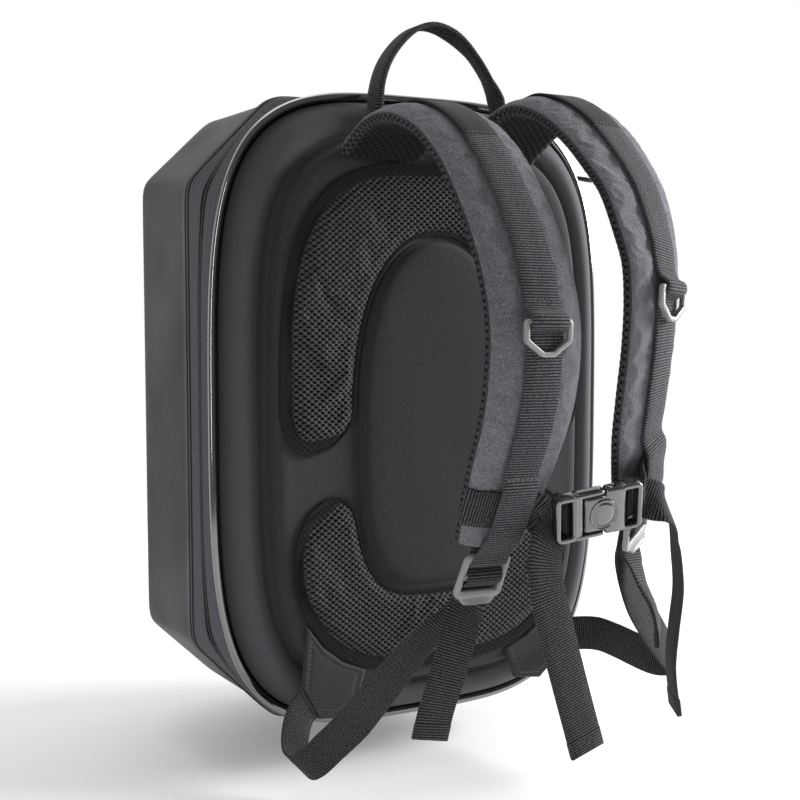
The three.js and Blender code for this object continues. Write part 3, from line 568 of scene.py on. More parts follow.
COIL_PITCH = 2.0
COIL_SHARE, COIL_Y = 0.5, -11.3
coil_path, coil_run = along_ring(zip_ring(COIL_SHARE, COIL_Y, 1.0), COIL_PITCH / 4)
tooth = 0.5 - 0.5 * np.cos(2 * np.pi * coil_run / COIL_PITCH)
coil = ring_tube(coil_path, 1.0 + 0.75 * tooth, 0.7 + 0.8 * tooth, 6)
make_piece("zip_coil_teeth", [skin(coil, wrap_u=True)], COIL_NYLON, "zip_coil")
piping_path, _ = along_ring(ring(PIPED, PIPING_Y), 2.5)
make_piece("piping_cord", [skin(ring_tube(piping_path, PIPING_RADIUS, PIPING_RADIUS, 16), wrap_u=True)],
           PIPING_PLASTIC, "piping")

# %% [markdown]
# A smooth curve through a few rows of points draws many shapes here: the back's swell from its rim to its
# middle, the sweep of a strap, the run of webbing. The centripetal form of the Catmull-Rom curve passes
# through every row without loops or overshoot. It works on whole rings as well as on single points.

# %% Smooth curves through rows
def unit(vectors):
    return vectors / np.linalg.norm(vectors, axis=-1, keepdims=True)


def curve(rows, t):
    """Points and directions at places t, counted in rows, on the smooth curve through rows.

    Between rows p1 and p2 it is a cubic whose end slopes follow from the neighbours p0 and p3, with each gap
    weighed by the square root of its length.
    """
    rows = np.asarray(rows, float)
    held = np.concatenate([2 * rows[:1] - rows[1:2], rows, 2 * rows[-1:] - rows[-2:-1]])
    k = np.clip(np.floor(t).astype(int), 0, len(rows) - 2)
    w = (np.asarray(t) - k).reshape((-1,) + (1,) * (rows.ndim - 1))
    p0, p1, p2, p3 = (held[k + step] for step in range(4))
    d0, d1, d2 = (np.maximum(np.linalg.norm(b - a, axis=-1, keepdims=True), 1e-6) ** 0.5
                  for a, b in ((p0, p1), (p1, p2), (p2, p3)))
    m1 = ((p1 - p0) / d0 - (p2 - p0) / (d0 + d1) + (p2 - p1) / d1) * d1
    m2 = ((p2 - p1) / d1 - (p3 - p1) / (d1 + d2) + (p3 - p2) / d2) * d1
    c2 = 3 * (p2 - p1) - 2 * m1 - m2
    c3 = 2 * (p1 - p2) + m1 + m2
    return p1 + w * (m1 + w * (c2 + w * c3)), unit(m1 + w * (2 * c2 + 3 * w * c3))


def rise(value, start, end):
    """Smooth step from 0 at start to 1 at end."""
    t = np.clip((value - start) / (end - start), 0, 1)
    return t * t * (3 - 2 * t)


def ripple(a, b):
    """Slow unevenness between -1 and 1: a sum of sine waves whose directions and lengths don't repeat."""
    waves = [(1.0, 0.31, 0.4), (-0.62, 0.93, 2.1), (0.37, -1.27, 4.4), (1.53, 0.71, 1.2)]
    return sum(np.sin(a * p + b * q + phase) for p, q, phase in waves) / len(waves)


print("middle of a three row curve:", curve([[0, 0, 0], [1, 1, 0], [2, 0, 0]], np.array([1.0]))[0])

# %% [markdown]
# The back is foam moulded under cloth. From the piping it swells to a soft ridge, dips into a valley and
# steps up to a plateau that carries the pads. A few rings at chosen depths and a smooth curve through them
# make the swell; a slight ripple keeps the cloth from looking machined. The rings on the ridge are marked for
# the finish, which paints a highlight there: the cloth is painted paler where the ridge catches the light.

# %% Moulded back
PLATEAU_Y = -52.0
PANEL_WALL = 4.0


def moulded_back():
    """Rings from the plateau's middle over step, valley and ridge to the rim, then back along the inside."""
    swell = [(inset(PANEL, 0.4), -22.8), (PANEL, -25), (inset(PANEL, 2), -31), (inset(PANEL, 6), -38.2),
             (inset(PANEL, 10.5), -42.2), (inset(PANEL, 14), -42.9), (inset(PANEL, 18.5), -41.3),
             (inset(PLATEAU, -2.6), -39.2), (inset(PLATEAU, 0.2), -40.4), (inset(PLATEAU, 1.6), -46.5),
             (inset(PLATEAU, 3), -50.6), (inset(PLATEAU, 6), PLATEAU_Y), (inset(PLATEAU, 14), PLATEAU_Y)]
    rings = np.stack([ring(outline, y, SOFT_AROUND) for outline, y in swell])
    row = np.linspace(0, len(swell) - 1, 80)
    outer, _ = curve(rings, row)
    field = between(outer[-1], np.array([[0, PLATEAU_Y, 0]]), np.linspace(0.03, 0.98, 30))
    outer = np.concatenate([outer, field])
    uneven = 0.35 * ripple(outer[..., 0] / 17, outer[..., 2] / 23)
    outer[..., 1] += uneven * (outer[..., 1] < -37)
    hidden = [(inset(PANEL, PANEL_WALL), -23), (inset(PANEL, 12), -36.5), (inset(PLATEAU, 2), -37),
              (inset(PLATEAU, 8), PLATEAU_Y + PANEL_WALL)]
    inner = np.stack([ring(outline, y, SOFT_AROUND) for outline, y in hidden])
    centre = between(inner[-1], np.array([[0, PLATEAU_Y + PANEL_WALL, 0]]), [0.5, 0.97])
    grid = np.concatenate([outer[::-1], inner, centre])
    # painted highlight: the ridge's rows are marked, so the cloth is painted paler there
    stretched = np.zeros((len(grid), 1))
    stretched[len(field):len(outer), 0] = (rise(row, 1.5, 4) * (1 - rise(row, 5.5, 7.5)))[::-1]
    return skin(grid, caps=True, stretched=stretched)


make_piece("moulded_back_panel", [moulded_back()], MOULDED_CLOTH, "back_panel")

# %% [markdown]
# Cloth over foam is held down along its stitches and swells between them. Such a swell could be drawn by
# hand, but a cloth simulation finds it, puckers included: a coarse sheet is held at chosen points, grows by
# a few percent and is blown up from below for twenty frames. Only the result is kept, refined by smooth
# curves.

# %% Cloth that swells between its stitches
SWELL_FRAMES = 20


def cloth_swell(sheet, out, held, growth, pressure, low, high):
    """A sheet after the simulation: each point moves along out by its travel, kept between low and high."""
    nu, nv = sheet.shape[:2]
    index = np.arange(nu * nv).reshape(nu, nv)
    faces = np.stack([index[:-1, :-1], index[1:, :-1], index[1:, 1:], index[:-1, 1:]], axis=2).reshape(-1, 4)
    normal = np.cross(sheet[1:, :-1] - sheet[:-1, :-1], sheet[:-1, 1:] - sheet[:-1, :-1])
    if (normal * out[:-1, :-1]).sum() < 0:
        faces = faces[:, ::-1]
    mesh = bpy.data.meshes.new("trial_sheet")
    mesh.from_pydata(to_frame(sheet).reshape(-1, 3).tolist(), [], faces.tolist())
    trial = bpy.data.objects.new("trial_sheet", mesh)
    scene.collection.objects.link(trial)
    trial.vertex_groups.new(name="held").add(index[held].tolist(), 1.0, "REPLACE")
    modifier = trial.modifiers.new("cloth", "CLOTH")
    cloth = modifier.settings
    cloth.vertex_group_mass = "held"
    cloth.quality = 6
    cloth.mass = 0.2
    cloth.bending_stiffness = 0.6
    cloth.shrink_min = -growth
    cloth.use_pressure = True
    cloth.uniform_pressure_force = pressure
    cloth.effector_weights.gravity = 0
    modifier.point_cache.frame_end = SWELL_FRAMES
    for frame_number in range(1, SWELL_FRAMES + 1):
        scene.frame_set(frame_number)
    moved = np.empty(nu * nv * 3, np.float32)
    trial.evaluated_get(bpy.context.evaluated_depsgraph_get()).data.vertices.foreach_get("co", moved)
    scene.frame_set(1)
    bpy.data.objects.remove(trial)
    bpy.data.meshes.remove(mesh)
    travel = ((moved.reshape(nu, nv, 3) - to_frame(sheet)) * 1000 * out).sum(-1)
    print(f"cloth swell: travel {travel.min():.2f} to {travel.max():.2f} mm, kept {low} to {high}")
    return sheet + out * np.clip(travel, low, high)[..., None]


def refined(sheet, rows, columns):
    """A finer sheet: smooth curves through the rows, then through the columns."""
    by_rows, _ = curve(sheet, np.linspace(0, len(sheet) - 1, rows))
    by_columns, _ = curve(by_rows.swapaxes(0, 1), np.linspace(0, sheet.shape[1] - 1, columns))
    return by_columns.swapaxes(0, 1)


print("frames of each swell:", SWELL_FRAMES)

# %% [markdown]
# The pads on the plateau are foam under spacer mesh, pressed thin and dark along their borders. A pad is a
# band between two outlines, from one angle to another; both edges close in near its ends, so the ends are
# round. The mesh is a staggered lattice of oval holes, sunk into a grid fine enough to show them as real
# dents, and painted almost black as a painted shade inside them.

# %% Mesh pads
SEAT_GAP = 0.4
SEAT_Y = PLATEAU_Y - SEAT_GAP
OUTER_BORDER = 8.5
INNER_BORDER = 4.0
BORDER_HEIGHT = 2.0
FOAM_HEIGHT = 2.6
MEAN_REACH = 122
PAD_HOLES = {"pitch_a": 4.7, "pitch_b": 3.8, "half_a": 1.6, "half_b": 1.03}
LINING_HOLES = {"pitch_a": 5.2, "pitch_b": 4.2, "half_a": 1.65, "half_b": 1.15}


def mesh_holes(a, b, pitch_a, pitch_b, half_a, half_b):
    """1 in the middle of a hole and 0 on the yarn, for two interleaved lattices of oval holes."""
    def lattice(shift):
        i, j = a / pitch_a + shift, b / pitch_b + shift
        return ((i - np.round(i)) * pitch_a / half_a) ** 2 + ((j - np.round(j)) * pitch_b / half_b) ** 2
    return np.clip(1.5 - 1.1 * np.minimum(lattice(0.0), lattice(0.5)), 0, 1)


def nearest(a, b, power=-2.2):
    """A soft minimum of two distances, which rounds the corner where both are small."""
    return (np.maximum(a, 0.01) ** power + np.maximum(b, 0.01) ** power) ** (1 / power)


def band_sheet(start, end, close, inner, outer, rows, columns):
    """A flat band: u runs along the angles and v from the inner outline to the outer; its ends close in."""
    share = np.linspace(0, 1, rows)
    angle = np.radians(start + (end - start) * share)
    near, far = reach(inner, angle), reach(outer, angle)
    left = np.clip(np.minimum(share, 1 - share) / close, 0, 1)
    opened = np.maximum(1 - (1 - left) ** 2, 0.0004) ** 0.5
    v = np.linspace(0, 1, columns)
    width = ((far - near) * opened)[:, None]
    across = (near + far)[:, None] / 2 + width * (v - 0.5)
    end_gap = np.minimum(share, 1 - share)[:, None] * np.radians(end - start) * across
    from_inner, from_outer = (nearest(width * part, end_gap) for part in (v, 1 - v))
    return across * np.cos(angle)[:, None], across * np.sin(angle)[:, None], from_inner, from_outer


def band_pad(band, step=0.62):
    """A band pressed thin along its borders: foam swells between them, and holes are sunk into the mesh."""
    x, z, near, far = band_sheet(**band, rows=110, columns=20)
    foam = rise(near, INNER_BORDER - 1, INNER_BORDER + 6) * rise(far, OUTER_BORDER - 1, OUTER_BORDER + 7)
    sheet = np.stack([x, SEAT_Y - BORDER_HEIGHT - FOAM_HEIGHT * foam, z], axis=-1)
    out = np.broadcast_to([0.0, -1.0, 0.0], sheet.shape)
    held = (near < INNER_BORDER) | (far < OUTER_BORDER)
    swollen = cloth_swell(sheet, out, held, growth=0.03, pressure=3.0, low=-0.3, high=2.2)
    rows = int(np.radians(band["end"] - band["start"]) * MEAN_REACH / step)
    columns = int((far + near).max() / step)
    puffed = refined(swollen, rows, columns)[..., 1]
    x, z, near, far = band_sheet(**band, rows=rows, columns=columns)
    height = SEAT_Y - puffed
    edge = np.minimum(near, far)
    height = np.minimum(height, BORDER_HEIGHT + 3 * np.maximum(edge - 3, 0)) * rise(edge, -0.6, 1.2)
    crease = np.exp(-((far - OUTER_BORDER + 0.4) / 0.8) ** 2)
    crease = crease + np.exp(-((near - INNER_BORDER + 0.3) / 0.7) ** 2)
    inside = rise(near, INNER_BORDER - 0.6, INNER_BORDER + 1)
    inside = inside * rise(far, OUTER_BORDER - 0.6, OUTER_BORDER + 1)
    holes = mesh_holes(x, z, **PAD_HOLES) * (0.3 + 0.7 * inside) * rise(edge, 1.0, 2.0)
    height = height - 0.6 * crease - holes
    top = np.stack([x, SEAT_Y - np.maximum(height, 0.3), z], axis=-1)
    under = top[:, [-1, 0]] * [1, 0, 1] + [0, SEAT_Y, 0]
    grid = np.concatenate([top, under], axis=1)
    # painted shade: the holes are marked to be painted almost black
    shade = np.concatenate([holes, np.zeros((rows, 2))], axis=1)
    border = np.concatenate([1 - inside, np.ones((rows, 2))], axis=1)
    return skin(grid, caps=True, hole=shade, border=border)


UPPER_PAD = {"start": -15, "end": 195, "close": 0.09, "inner": inset(OVAL, -2),
             "outer": box_outline(112, 161, 3.2)}
LOWER_PAD = {"start": 212, "end": 328, "close": 0.16, "inner": inset(OVAL, -3),
             "outer": box_outline(112, 167, 3.2)}
upper_pad = make_piece("upper_pad_mesh", [band_pad(UPPER_PAD)], MESH_CLOTH, "upper_mesh_pad")
lower_pad = make_piece("lower_pad_mesh", [band_pad(LOWER_PAD)], MESH_CLOTH, "lower_mesh_pad")

# %% [markdown]
# The oval pad in the middle is the same foam under woven cloth. Its edge is pressed to a narrow flange, and
# inside the flange it rises steeply to a gentle crown. Rings at chosen heights are enough, with a little
# unevenness.

# %% Oval pad
OVAL_HEIGHT = 6.6


def oval_pad():
    """Rings from the middle over the crown and its steep side to the flange, and back under the pad."""
    rows = [(0.2, 0.4), (0.1, 0.8), (0.7, 1.1), (1.4, 1.3), (2.1, 2.2), (3.2, 3.9), (5.2, 5.1), (8.8, 5.8),
            (15.0, 6.25), (25.0, 6.5), (36.0, OVAL_HEIGHT)]
    rings = np.stack([ring(inset(OVAL, by), PLATEAU_Y - height, SOFT_AROUND) for by, height in rows])
    outer, _ = curve(rings, np.linspace(0, len(rows) - 1, 56))
    field = between(outer[-1], np.array([[0, PLATEAU_Y - OVAL_HEIGHT, 0]]), np.linspace(0.08, 0.97, 12))
    grid = np.concatenate([outer, field])
    grid[..., 1] += 0.25 * ripple(grid[..., 0] / 14, grid[..., 2] / 19) * rise(-grid[..., 1], 54, 58)
    under = between(outer[0], np.array([[0, SEAT_Y, 0]]), [0.5, 0.97])
    return np.concatenate([grid[::-1], under])


oval = make_piece("oval_pad_cloth", [skin(oval_pad(), caps=True)], OVAL_CLOTH, "center_pad")

# %% [markdown]
# A shoulder strap leaves the top of the back, arches over the shoulder and comes down in front. Its stations,
# about 25 mm apart, give the middle of its outer face, half its width, and how far the face turns outwards.
# The directions along, across and out of the strap at any place follow from the smooth curve through the
# stations.

# %% Strap stations
STRAP_COLUMNS = ("x", "y", "z", "half width", "turn in degrees")
STATION_LENGTH = 25.0
CREST_ROW = 3
SIDE_SIGN = {"left": -1, "right": 1}
STRAP_ROWS = {
    "left": np.array([
        (-42, -52.4, 173, 28, 0), (-41, -84, 186, 30, 0), (-40, -114, 188, 30, 0), (-38, -143, 178, 29, 0),
        (-36.5, -167, 160, 28.5, 0), (-36, -188, 136, 28.5, 0), (-36, -206, 110, 28.5, 0),
        (-36.5, -219, 85, 28.5, 0), (-37, -226, 60, 28.5, 0), (-37, -225, 34, 28.5, 0),
        (-37.5, -219, 8, 28, 0), (-38.5, -209, -16, 27, 0), (-39, -198, -39, 25, 0),
        (-40, -187, -62, 21, 0)]),
    "right": np.array([
        (42, -52.4, 173, 28, 0), (42, -84, 190, 29, 0), (43, -116, 197, 29, 2), (46.5, -142, 189, 29.5, 6),
        (49.2, -163, 174.3, 30.5, 11), (50.5, -183, 154.5, 30.5, 16), (50, -199, 136, 30, 20),
        (48, -212, 114, 29.5, 23), (47.5, -219.5, 94, 28.5, 25), (46.5, -222, 72, 28, 26),
        (46.5, -220, 48, 27, 26), (46.5, -216, 24, 26.5, 26), (48, -210, 1, 25.5, 27),
        (52, -203, -18, 23.5, 29), (57, -195, -37, 20, 31)]),
}


class Strap:
    """Directions on one strap's outer face."""

    def __init__(self, side):
        self.rows = STRAP_ROWS[side]
        self.last = len(self.rows) - 1

    def axes(self, t):
        """Place, along, across, out and half width at places t.

        Across is level, turned by the station's degrees, and square to along.
        """
        t = np.atleast_1d(np.asarray(t, float))
        at, along = curve(self.rows[:, :3], t)
        half, turn = (np.interp(t, np.arange(self.last + 1), self.rows[:, STRAP_COLUMNS.index(name)])
                      for name in ("half width", "turn in degrees"))
        turn = np.radians(turn)
        level = np.stack([np.cos(turn), np.sin(turn), np.zeros_like(turn)], axis=-1)
        across = unit(level - along * (level * along).sum(-1, keepdims=True))
        return at, along, across, unit(np.cross(along, across)), half

    def place(self, t, across, lift):
        """Points at distances across the face and lifts out of it."""
        at, _, side, out, _ = self.axes(t)
        return at + side * np.reshape(across, (-1, 1)) + out * np.reshape(lift, (-1, 1))

    def row_at(self, z):
        """Place where the strap's middle line comes down to a height, past its crest."""
        heights = self.rows[CREST_ROW:, STRAP_COLUMNS.index("z")]
        return CREST_ROW + np.interp(-np.asarray(z, float), -heights, np.arange(len(heights)))


STRAPS = {side: Strap(side) for side in STRAP_ROWS}
strap_lines = {side: curve(strap.rows[:, :3], np.linspace(0, strap.last, 200))[0]
               for side, strap in STRAPS.items()}
print("strap lengths, mm:", {side: round(length_run(line)[-1]) for side, line in strap_lines.items()})

# %% [markdown]
# The strap is foam between woven cloth outside and spacer mesh inside; the two meet in a seam along the
# edges. The cloth is a loop: over the crowned face from seam to seam, and back underneath. The simulation
# holds it at the seams and under the webbing's stitches, and it puckers between them. The mesh wraps the
# foam's underside, and its holes line the strap's edge.

# %% Strap cloth and mesh lining
STRAP_PAD = 10.0
CROWN = 4.4
SEAM_DEPTH = 6.0


def over(strap, t, share, depth):
    """Grid of points: share of the half width across, and depth below the face."""
    at, _, across, out, half = strap.axes(t)
    aside = across[:, None] * (half[:, None] * share)[..., None]
    return at[:, None] + aside - out[:, None] * depth[..., None]


def crowned(share):
    """Depth of the face: the crown by the share to the power 2.3, and a short turn down at the seam."""
    return CROWN * np.abs(share) ** 2.3 + (SEAM_DEPTH - CROWN) * np.abs(share) ** 16


FREE = np.linspace(0.46, 0.96, 8)
FACE_SHARES = np.concatenate([[-1.0], -FREE[::-1], [-0.38, -0.2, 0.0, 0.2, 0.38], FREE, [1.0]])


def strap_cloth(strap, rows=380, columns=60):
    """The swollen face from seam to seam, closed by a lower side that follows the foam."""
    t = np.linspace(0, strap.last, 150)
    share = np.broadcast_to(FACE_SHARES, (len(t), len(FACE_SHARES)))
    x = share * strap.axes(t)[4][:, None]
    start = crowned(share) + 0.2 * ripple(t[:, None] * STATION_LENGTH / 5, x / 6) * (np.abs(share) < 0.99)
    sheet = over(strap, t, share, start)
    out = np.broadcast_to(strap.axes(t)[3][:, None], sheet.shape)
    held = (np.abs(share) > 0.99) | (np.abs(share) < 0.4)
    held[[0, -1]] = True
    swollen = cloth_swell(sheet, out, held, growth=0.018, pressure=1.5, low=-0.5, high=0.7)
    face = refined(swollen, rows, columns)
    hidden = np.linspace(0.97, -0.97, 10)
    under = STRAP_PAD - 0.4 - (STRAP_PAD - 0.6 - SEAM_DEPTH) * np.abs(hidden) ** 10
    fine = np.linspace(0, strap.last, rows)
    back = over(strap, fine, hidden[None], np.broadcast_to(under, (rows, len(hidden))))
    return skin(np.concatenate([face, back], axis=1), caps=True)


LINING_HALF = 28.0
LINING_EDGE = np.array([(27.2, 6.3), (28.3, 7.4), (28.6, 9.2), (27.8, 11.2), (25.6, 12.4), (21, 12.8)])
LINING_PROFILE = np.concatenate([LINING_EDGE * [-1, 1], [(0, 12.8)], LINING_EDGE[::-1]])
HOLE_DEPTH = 0.8


def strap_lining(strap, step=0.74):
    """Boat of mesh: a smooth profile from seam to seam round the foam, with holes sunk square to it."""
    t = np.linspace(0, strap.last, int(STATION_LENGTH * strap.last / step))
    dense, _ = curve(LINING_PROFILE, np.linspace(0, len(LINING_PROFILE) - 1, 400))
    run = length_run(dense)
    places = np.linspace(0, run[-1], int(run[-1] / step))
    profile = at_places(places, run, dense)
    slope = unit(np.gradient(profile, axis=0))
    spread = np.broadcast_to(places - run[-1] / 2, (len(t), len(places)))
    holes = mesh_holes(spread, STATION_LENGTH * t[:, None], **LINING_HOLES)
    holes = holes * rise(np.minimum(places, run[-1] - places), 0.8, 1.6)
    x = profile[:, 0] - HOLE_DEPTH * holes * slope[:, 1]
    depth = profile[:, 1] - HOLE_DEPTH * holes * slope[:, 0]
    hidden = np.linspace(0.93, -0.93, 9)
    roof = STRAP_PAD + 0.3 - 2.6 * np.abs(hidden) ** 12
    roof_shape = (len(t), len(hidden))
    share = np.concatenate([x / LINING_HALF, np.broadcast_to(hidden, roof_shape)], axis=1)
    depths = np.concatenate([depth, np.broadcast_to(roof, roof_shape)], axis=1)
    # painted shade: the lining's holes are marked to be painted almost black
    marks = np.concatenate([holes, np.zeros(roof_shape)], axis=1)
    # painted shade: the middle of the underside, under the strap's arch, is marked to be darker; the sides
    # stay pale
    worn = np.concatenate([1 - rise(np.abs(profile[:, 0]), 22, 27), np.ones(len(hidden))])
    return skin(over(strap, t, share, depths), caps=True, hole=marks, border=worn)


for side, strap in STRAPS.items():
    cloth = make_piece(f"strap_cloth_{side}", [strap_cloth(strap)], STRAP_CLOTH,
                       f"shoulder_strap_{side}")
    lining = make_piece(f"strap_mesh_{side}", [strap_lining(strap)], LINING_MESH,
                        f"strap_lining_{side}")

# %% [markdown]
# Webbing is a flat strip, so it is modelled directly: a thin rounded section carried along a curve. Ribs
# across its width give the tight ladder look; the groove between two ribs gets a painted shade. Where an end
# is folded back and sewn, the strip is almost twice as thick.

# %% Webbing strips
WEBBING = 22.8
WEBBING_THICKNESS = 1.6
RIB_PITCH = 1.6
RIB_HEIGHT = 0.25
COVER_FADE = 1.5
HEM_FADE = 0.8
HEM_SWELL = 0.75
STITCH_LIFT = 0.15
SECTION_HALF = np.concatenate([np.linspace(-0.95, 0.95, 4), [0.985, 1.0, 0.985]])
SECTION_ACROSS = np.concatenate([SECTION_HALF, -SECTION_HALF])
SECTION_RISE = np.concatenate([np.ones(4), [0.7, 0.0, -0.7]])
SECTION_LIFT = np.concatenate([SECTION_RISE, -SECTION_RISE])


def webbing_strip(at, across, width=WEBBING, thickness=WEBBING_THICKNESS, shear=(False, False), hem=0.0,
                  cover=0.0, ruled=0, step=0.3):
    """A strip through rows: the section is in shares of width and thickness; out is along cross across.

    The ribs are a rectified sine of the length run; hem is the length of the doubled end, and cover the
    length at the start that is smooth. A sheared end, and the first ruled rows, keep their own direction
    across, square or not.
    """
    at, across = np.asarray(at, float), np.asarray(across, float)
    dense = np.linspace(0, len(at) - 1, 40 * len(at))
    run = length_run(curve(at, dense)[0])
    stations = np.linspace(0, run[-1], int(run[-1] / step))
    t = np.interp(stations, run, dense)
    point, along = curve(at, t)
    side = at_places(t, np.arange(len(at)), across)
    square = np.ones(len(t))
    if shear[0]:
        square = square * np.clip(2 * t, 0, 1)
    if shear[1]:
        square = square * np.clip(2 * (len(at) - 1 - t), 0, 1)
    if ruled:
        square = square * rise(t, ruled - 1, ruled + 1)
    square = square[:, None]
    trued = unit(side - along * (side * along).sum(-1, keepdims=True))
    side = trued * square + side * (1 - square)
    out = unit(np.cross(along, side))
    rib = np.abs(np.sin(np.pi * stations / RIB_PITCH))
    smooth = 1 - rise(stations, cover, cover + COVER_FADE) if cover else np.zeros(len(t))
    doubled = rise(stations, run[-1] - hem - HEM_FADE, run[-1] - hem) if hem else np.zeros(len(t))
    relief = RIB_HEIGHT * (rib - 0.6) * (1 - smooth)
    lift = (thickness / 2 * (1 + HEM_SWELL * doubled) + relief)[:, None] * SECTION_LIFT
    aside = side[:, None] * (SECTION_ACROSS * width / 2)[None, :, None]
    grid = point[:, None] + aside + out[:, None] * lift[..., None]
    # painted shade: the grooves between the ribs are marked for darkening
    groove = (1 - rib ** 2.5) * (1 - smooth)
    strip = skin(grid, caps=True, groove=groove[:, None], cover=smooth[:, None])
    strip["track"] = {"run": stations, "at": point, "side": side * width / 2,
                      "out": out * (thickness / 2 + STITCH_LIFT)}
    return strip


HANDLE_Y = -45.0
HANDLE_ROWS = np.array([
    (-41, HANDLE_Y, 186.3), (-40, HANDLE_Y, 207), (-34, HANDLE_Y, 224), (-22, HANDLE_Y, 239),
    (-11, HANDLE_Y, 246.5), (0, HANDLE_Y, 248.5), (14, HANDLE_Y, 244.5), (30, HANDLE_Y, 233),
    (42, HANDLE_Y, 218), (49, HANDLE_Y, 205), (52, HANDLE_Y, 185.4)])
HANDLE_LEVEL, HANDLE_FOOT, HANDLE_TURNED = (0, 1, 0), (0, 1, 1.1), (0.3, 0.95, 0)
HANDLE_ACROSS = [HANDLE_FOOT] + [HANDLE_LEVEL] * 6 + [HANDLE_TURNED] * 2 + [HANDLE_LEVEL, HANDLE_FOOT]
handle = webbing_strip(HANDLE_ROWS, HANDLE_ACROSS, width=18, thickness=3, shear=(True, True))
make_piece("carry_handle_webbing", [handle], DARK_WEBBING, "carry_handle")

# %% [markdown]
# Down the middle of each strap runs webbing, sewn flat. It lifts over the bar of a ring, passes over the
# chest webbing, and loops round the top bar of the ladder lock at the strap's end. Its first stretch is under
# a smooth cloth cover.

# %% Strap webbing
RING_BAR_LIFT = 5.0
RING_Z = {"left": 62.0, "right": 80.0}
CHEST_Z = {"left": -39.0, "right": -22.0}
FLAT_LIFT = 1.4
CHEST_LIFT = 2.2
OVER_LIFT = 4.8
LOCK_DROP = 22.0
LOCK_SINK = 4.0
COVER = 72.0
TUNNEL = [(9, FLAT_LIFT), (5.2, 3.2), (2.2, RING_BAR_LIFT + 2.3), (-1.8, RING_BAR_LIFT + 2.4), (-4.0, 4.0),
          (-5.2, 1.7), (-9, FLAT_LIFT)]
CROSSING = [(20, FLAT_LIFT), (13.5, OVER_LIFT), (0, OVER_LIFT), (-13.5, OVER_LIFT)]
LOCK_LOOP = [(19, 4.4), (14, 3.4), (10.6, 3.1), (8.6, 1.9), (7.9, 0), (8.6, -1.9), (10.6, -3.1), (14, -3.3),
             (20, -3.4)]


def placed(local, at, axes):
    """Local coordinates as case points: each times its own axis, from a place."""
    return np.asarray(at) + np.asarray(local, float) @ np.stack(axes)


class Lock:
    """Directions of a ladder lock: across the strap, up it, and out of it, from its middle bar."""

    def __init__(self, strap):
        at, along, across, out, _ = (value[0] for value in strap.axes(strap.last))
        self.across = across
        self.axes = (across, -along, out)
        self.at = at + along * LOCK_DROP - out * LOCK_SINK

    def thread(self, rows):
        """Points on the lock's middle plane: rows give the distance up and the distance out."""
        return placed([(0, up, out) for up, out in rows], self.at, self.axes)


LOCKS = {side: Lock(strap) for side, strap in STRAPS.items()}


def sewn_webbing(side):
    """Rows on the face, spaced by half stations, with those of the tunnel and the crossing put in."""
    strap, lock = STRAPS[side], LOCKS[side]
    special = [(float(strap.row_at(z + above)), lift)
               for z, rows in ((RING_Z[side], TUNNEL), (CHEST_Z[side], CROSSING)) for above, lift in rows]
    plain = [(t, FLAT_LIFT) for t in np.arange(1.5, strap.last - 1, 0.5)
             if all(abs(t - place) > 0.55 for place, _ in special)]
    t, lift = np.array(sorted(plain + special)).T
    at = np.concatenate([strap.place(t, np.zeros_like(t), lift), lock.thread(LOCK_LOOP)])
    across = np.concatenate([strap.axes(t)[2], np.tile(lock.across, (len(LOCK_LOOP), 1))])
    return webbing_strip(at, across, cover=COVER)


SEWN_STRIPS = {side: sewn_webbing(side) for side in STRAPS}
for side, strip in SEWN_STRIPS.items():
    make_piece(f"sewn_webbing_{side}", [strip], WEBBING_CLOTH, f"strap_webbing_{side}")

# %% [markdown]
# From a cloth tab at each lower corner, webbing runs loose to the ladder lock, threads over its middle bar
# and hangs down as a tail. The rows of the loose run were chosen to lie where the portrait shows them, and
# each has its own direction across.

# %% Lower webbing
TAB_THICKNESS = 2.6
TAB_Y = SEAT_Y - TAB_THICKNESS / 2
TAB_EDGE = {
    "left": np.array([(-98.0, -168.5), (-86.3, -190.5), (-75.0, -191.5), (-60.0, -184.0)]),
    "right": np.array([(-99.5, -147.0), (-99.5, -172.0), (-82.0, -187.0), (-60.0, -184.0)]),
}
LOCK_THREAD = [(-26, -6.4), (-13, -5.8), (-3, -4.8), (2, -3.2), (3.7, 0), (1.6, 2.9), (-1.6, 3.2),
               (-4.6, 1.8), (-7.4, -1), (-10.2, -3), (-15, -3.4), (-21, -3.6)]
RULED_ROWS = {"left": 7, "right": 0}
LOWER_RUN = {
    "left": [((-103.5, -58, -192), (-0.66, 0.12, 0.74)), ((-108.2, -63.5, -205), (-0.66, 0.12, 0.74)),
             ((-109, -68.5, -210.5), (-0.66, 0.12, 0.74)), ((-107.6, -74.5, -211.5), (-0.66, 0.12, 0.74)),
             ((-103.5, -80.5, -207.5), (-0.66, 0.15, 0.74)), ((-96, -88, -197), (-0.68, 0.2, 0.7)),
             ((-86, -100, -181), (-0.75, 0.3, 0.56)), ((-74, -124, -149), (-0.85, 0.1, 0.45)),
             ((-59, -146, -118), (-0.95, -0.1, 0.25))],
    "right": [((110, -58, -158.5), (0.05, 0.1, 0.99)), ((115.5, -74, -156), (0.1, 0.25, 0.96)),
              ((117, -94, -156.5), (0.1, 0.35, 0.93)), ((118.5, -114, -158.5), (0.1, 0.4, 0.91)),
              ((121, -131, -159.5), (0.15, 0.4, 0.9)), ((121, -143, -156), (0.25, 0.4, 0.88)),
              ((111, -150.5, -147), (0.45, 0.3, 0.84)), ((92, -159, -128), (0.7, 0.25, 0.66)),
              ((74, -165, -106), (0.82, 0.35, 0.45))],
}
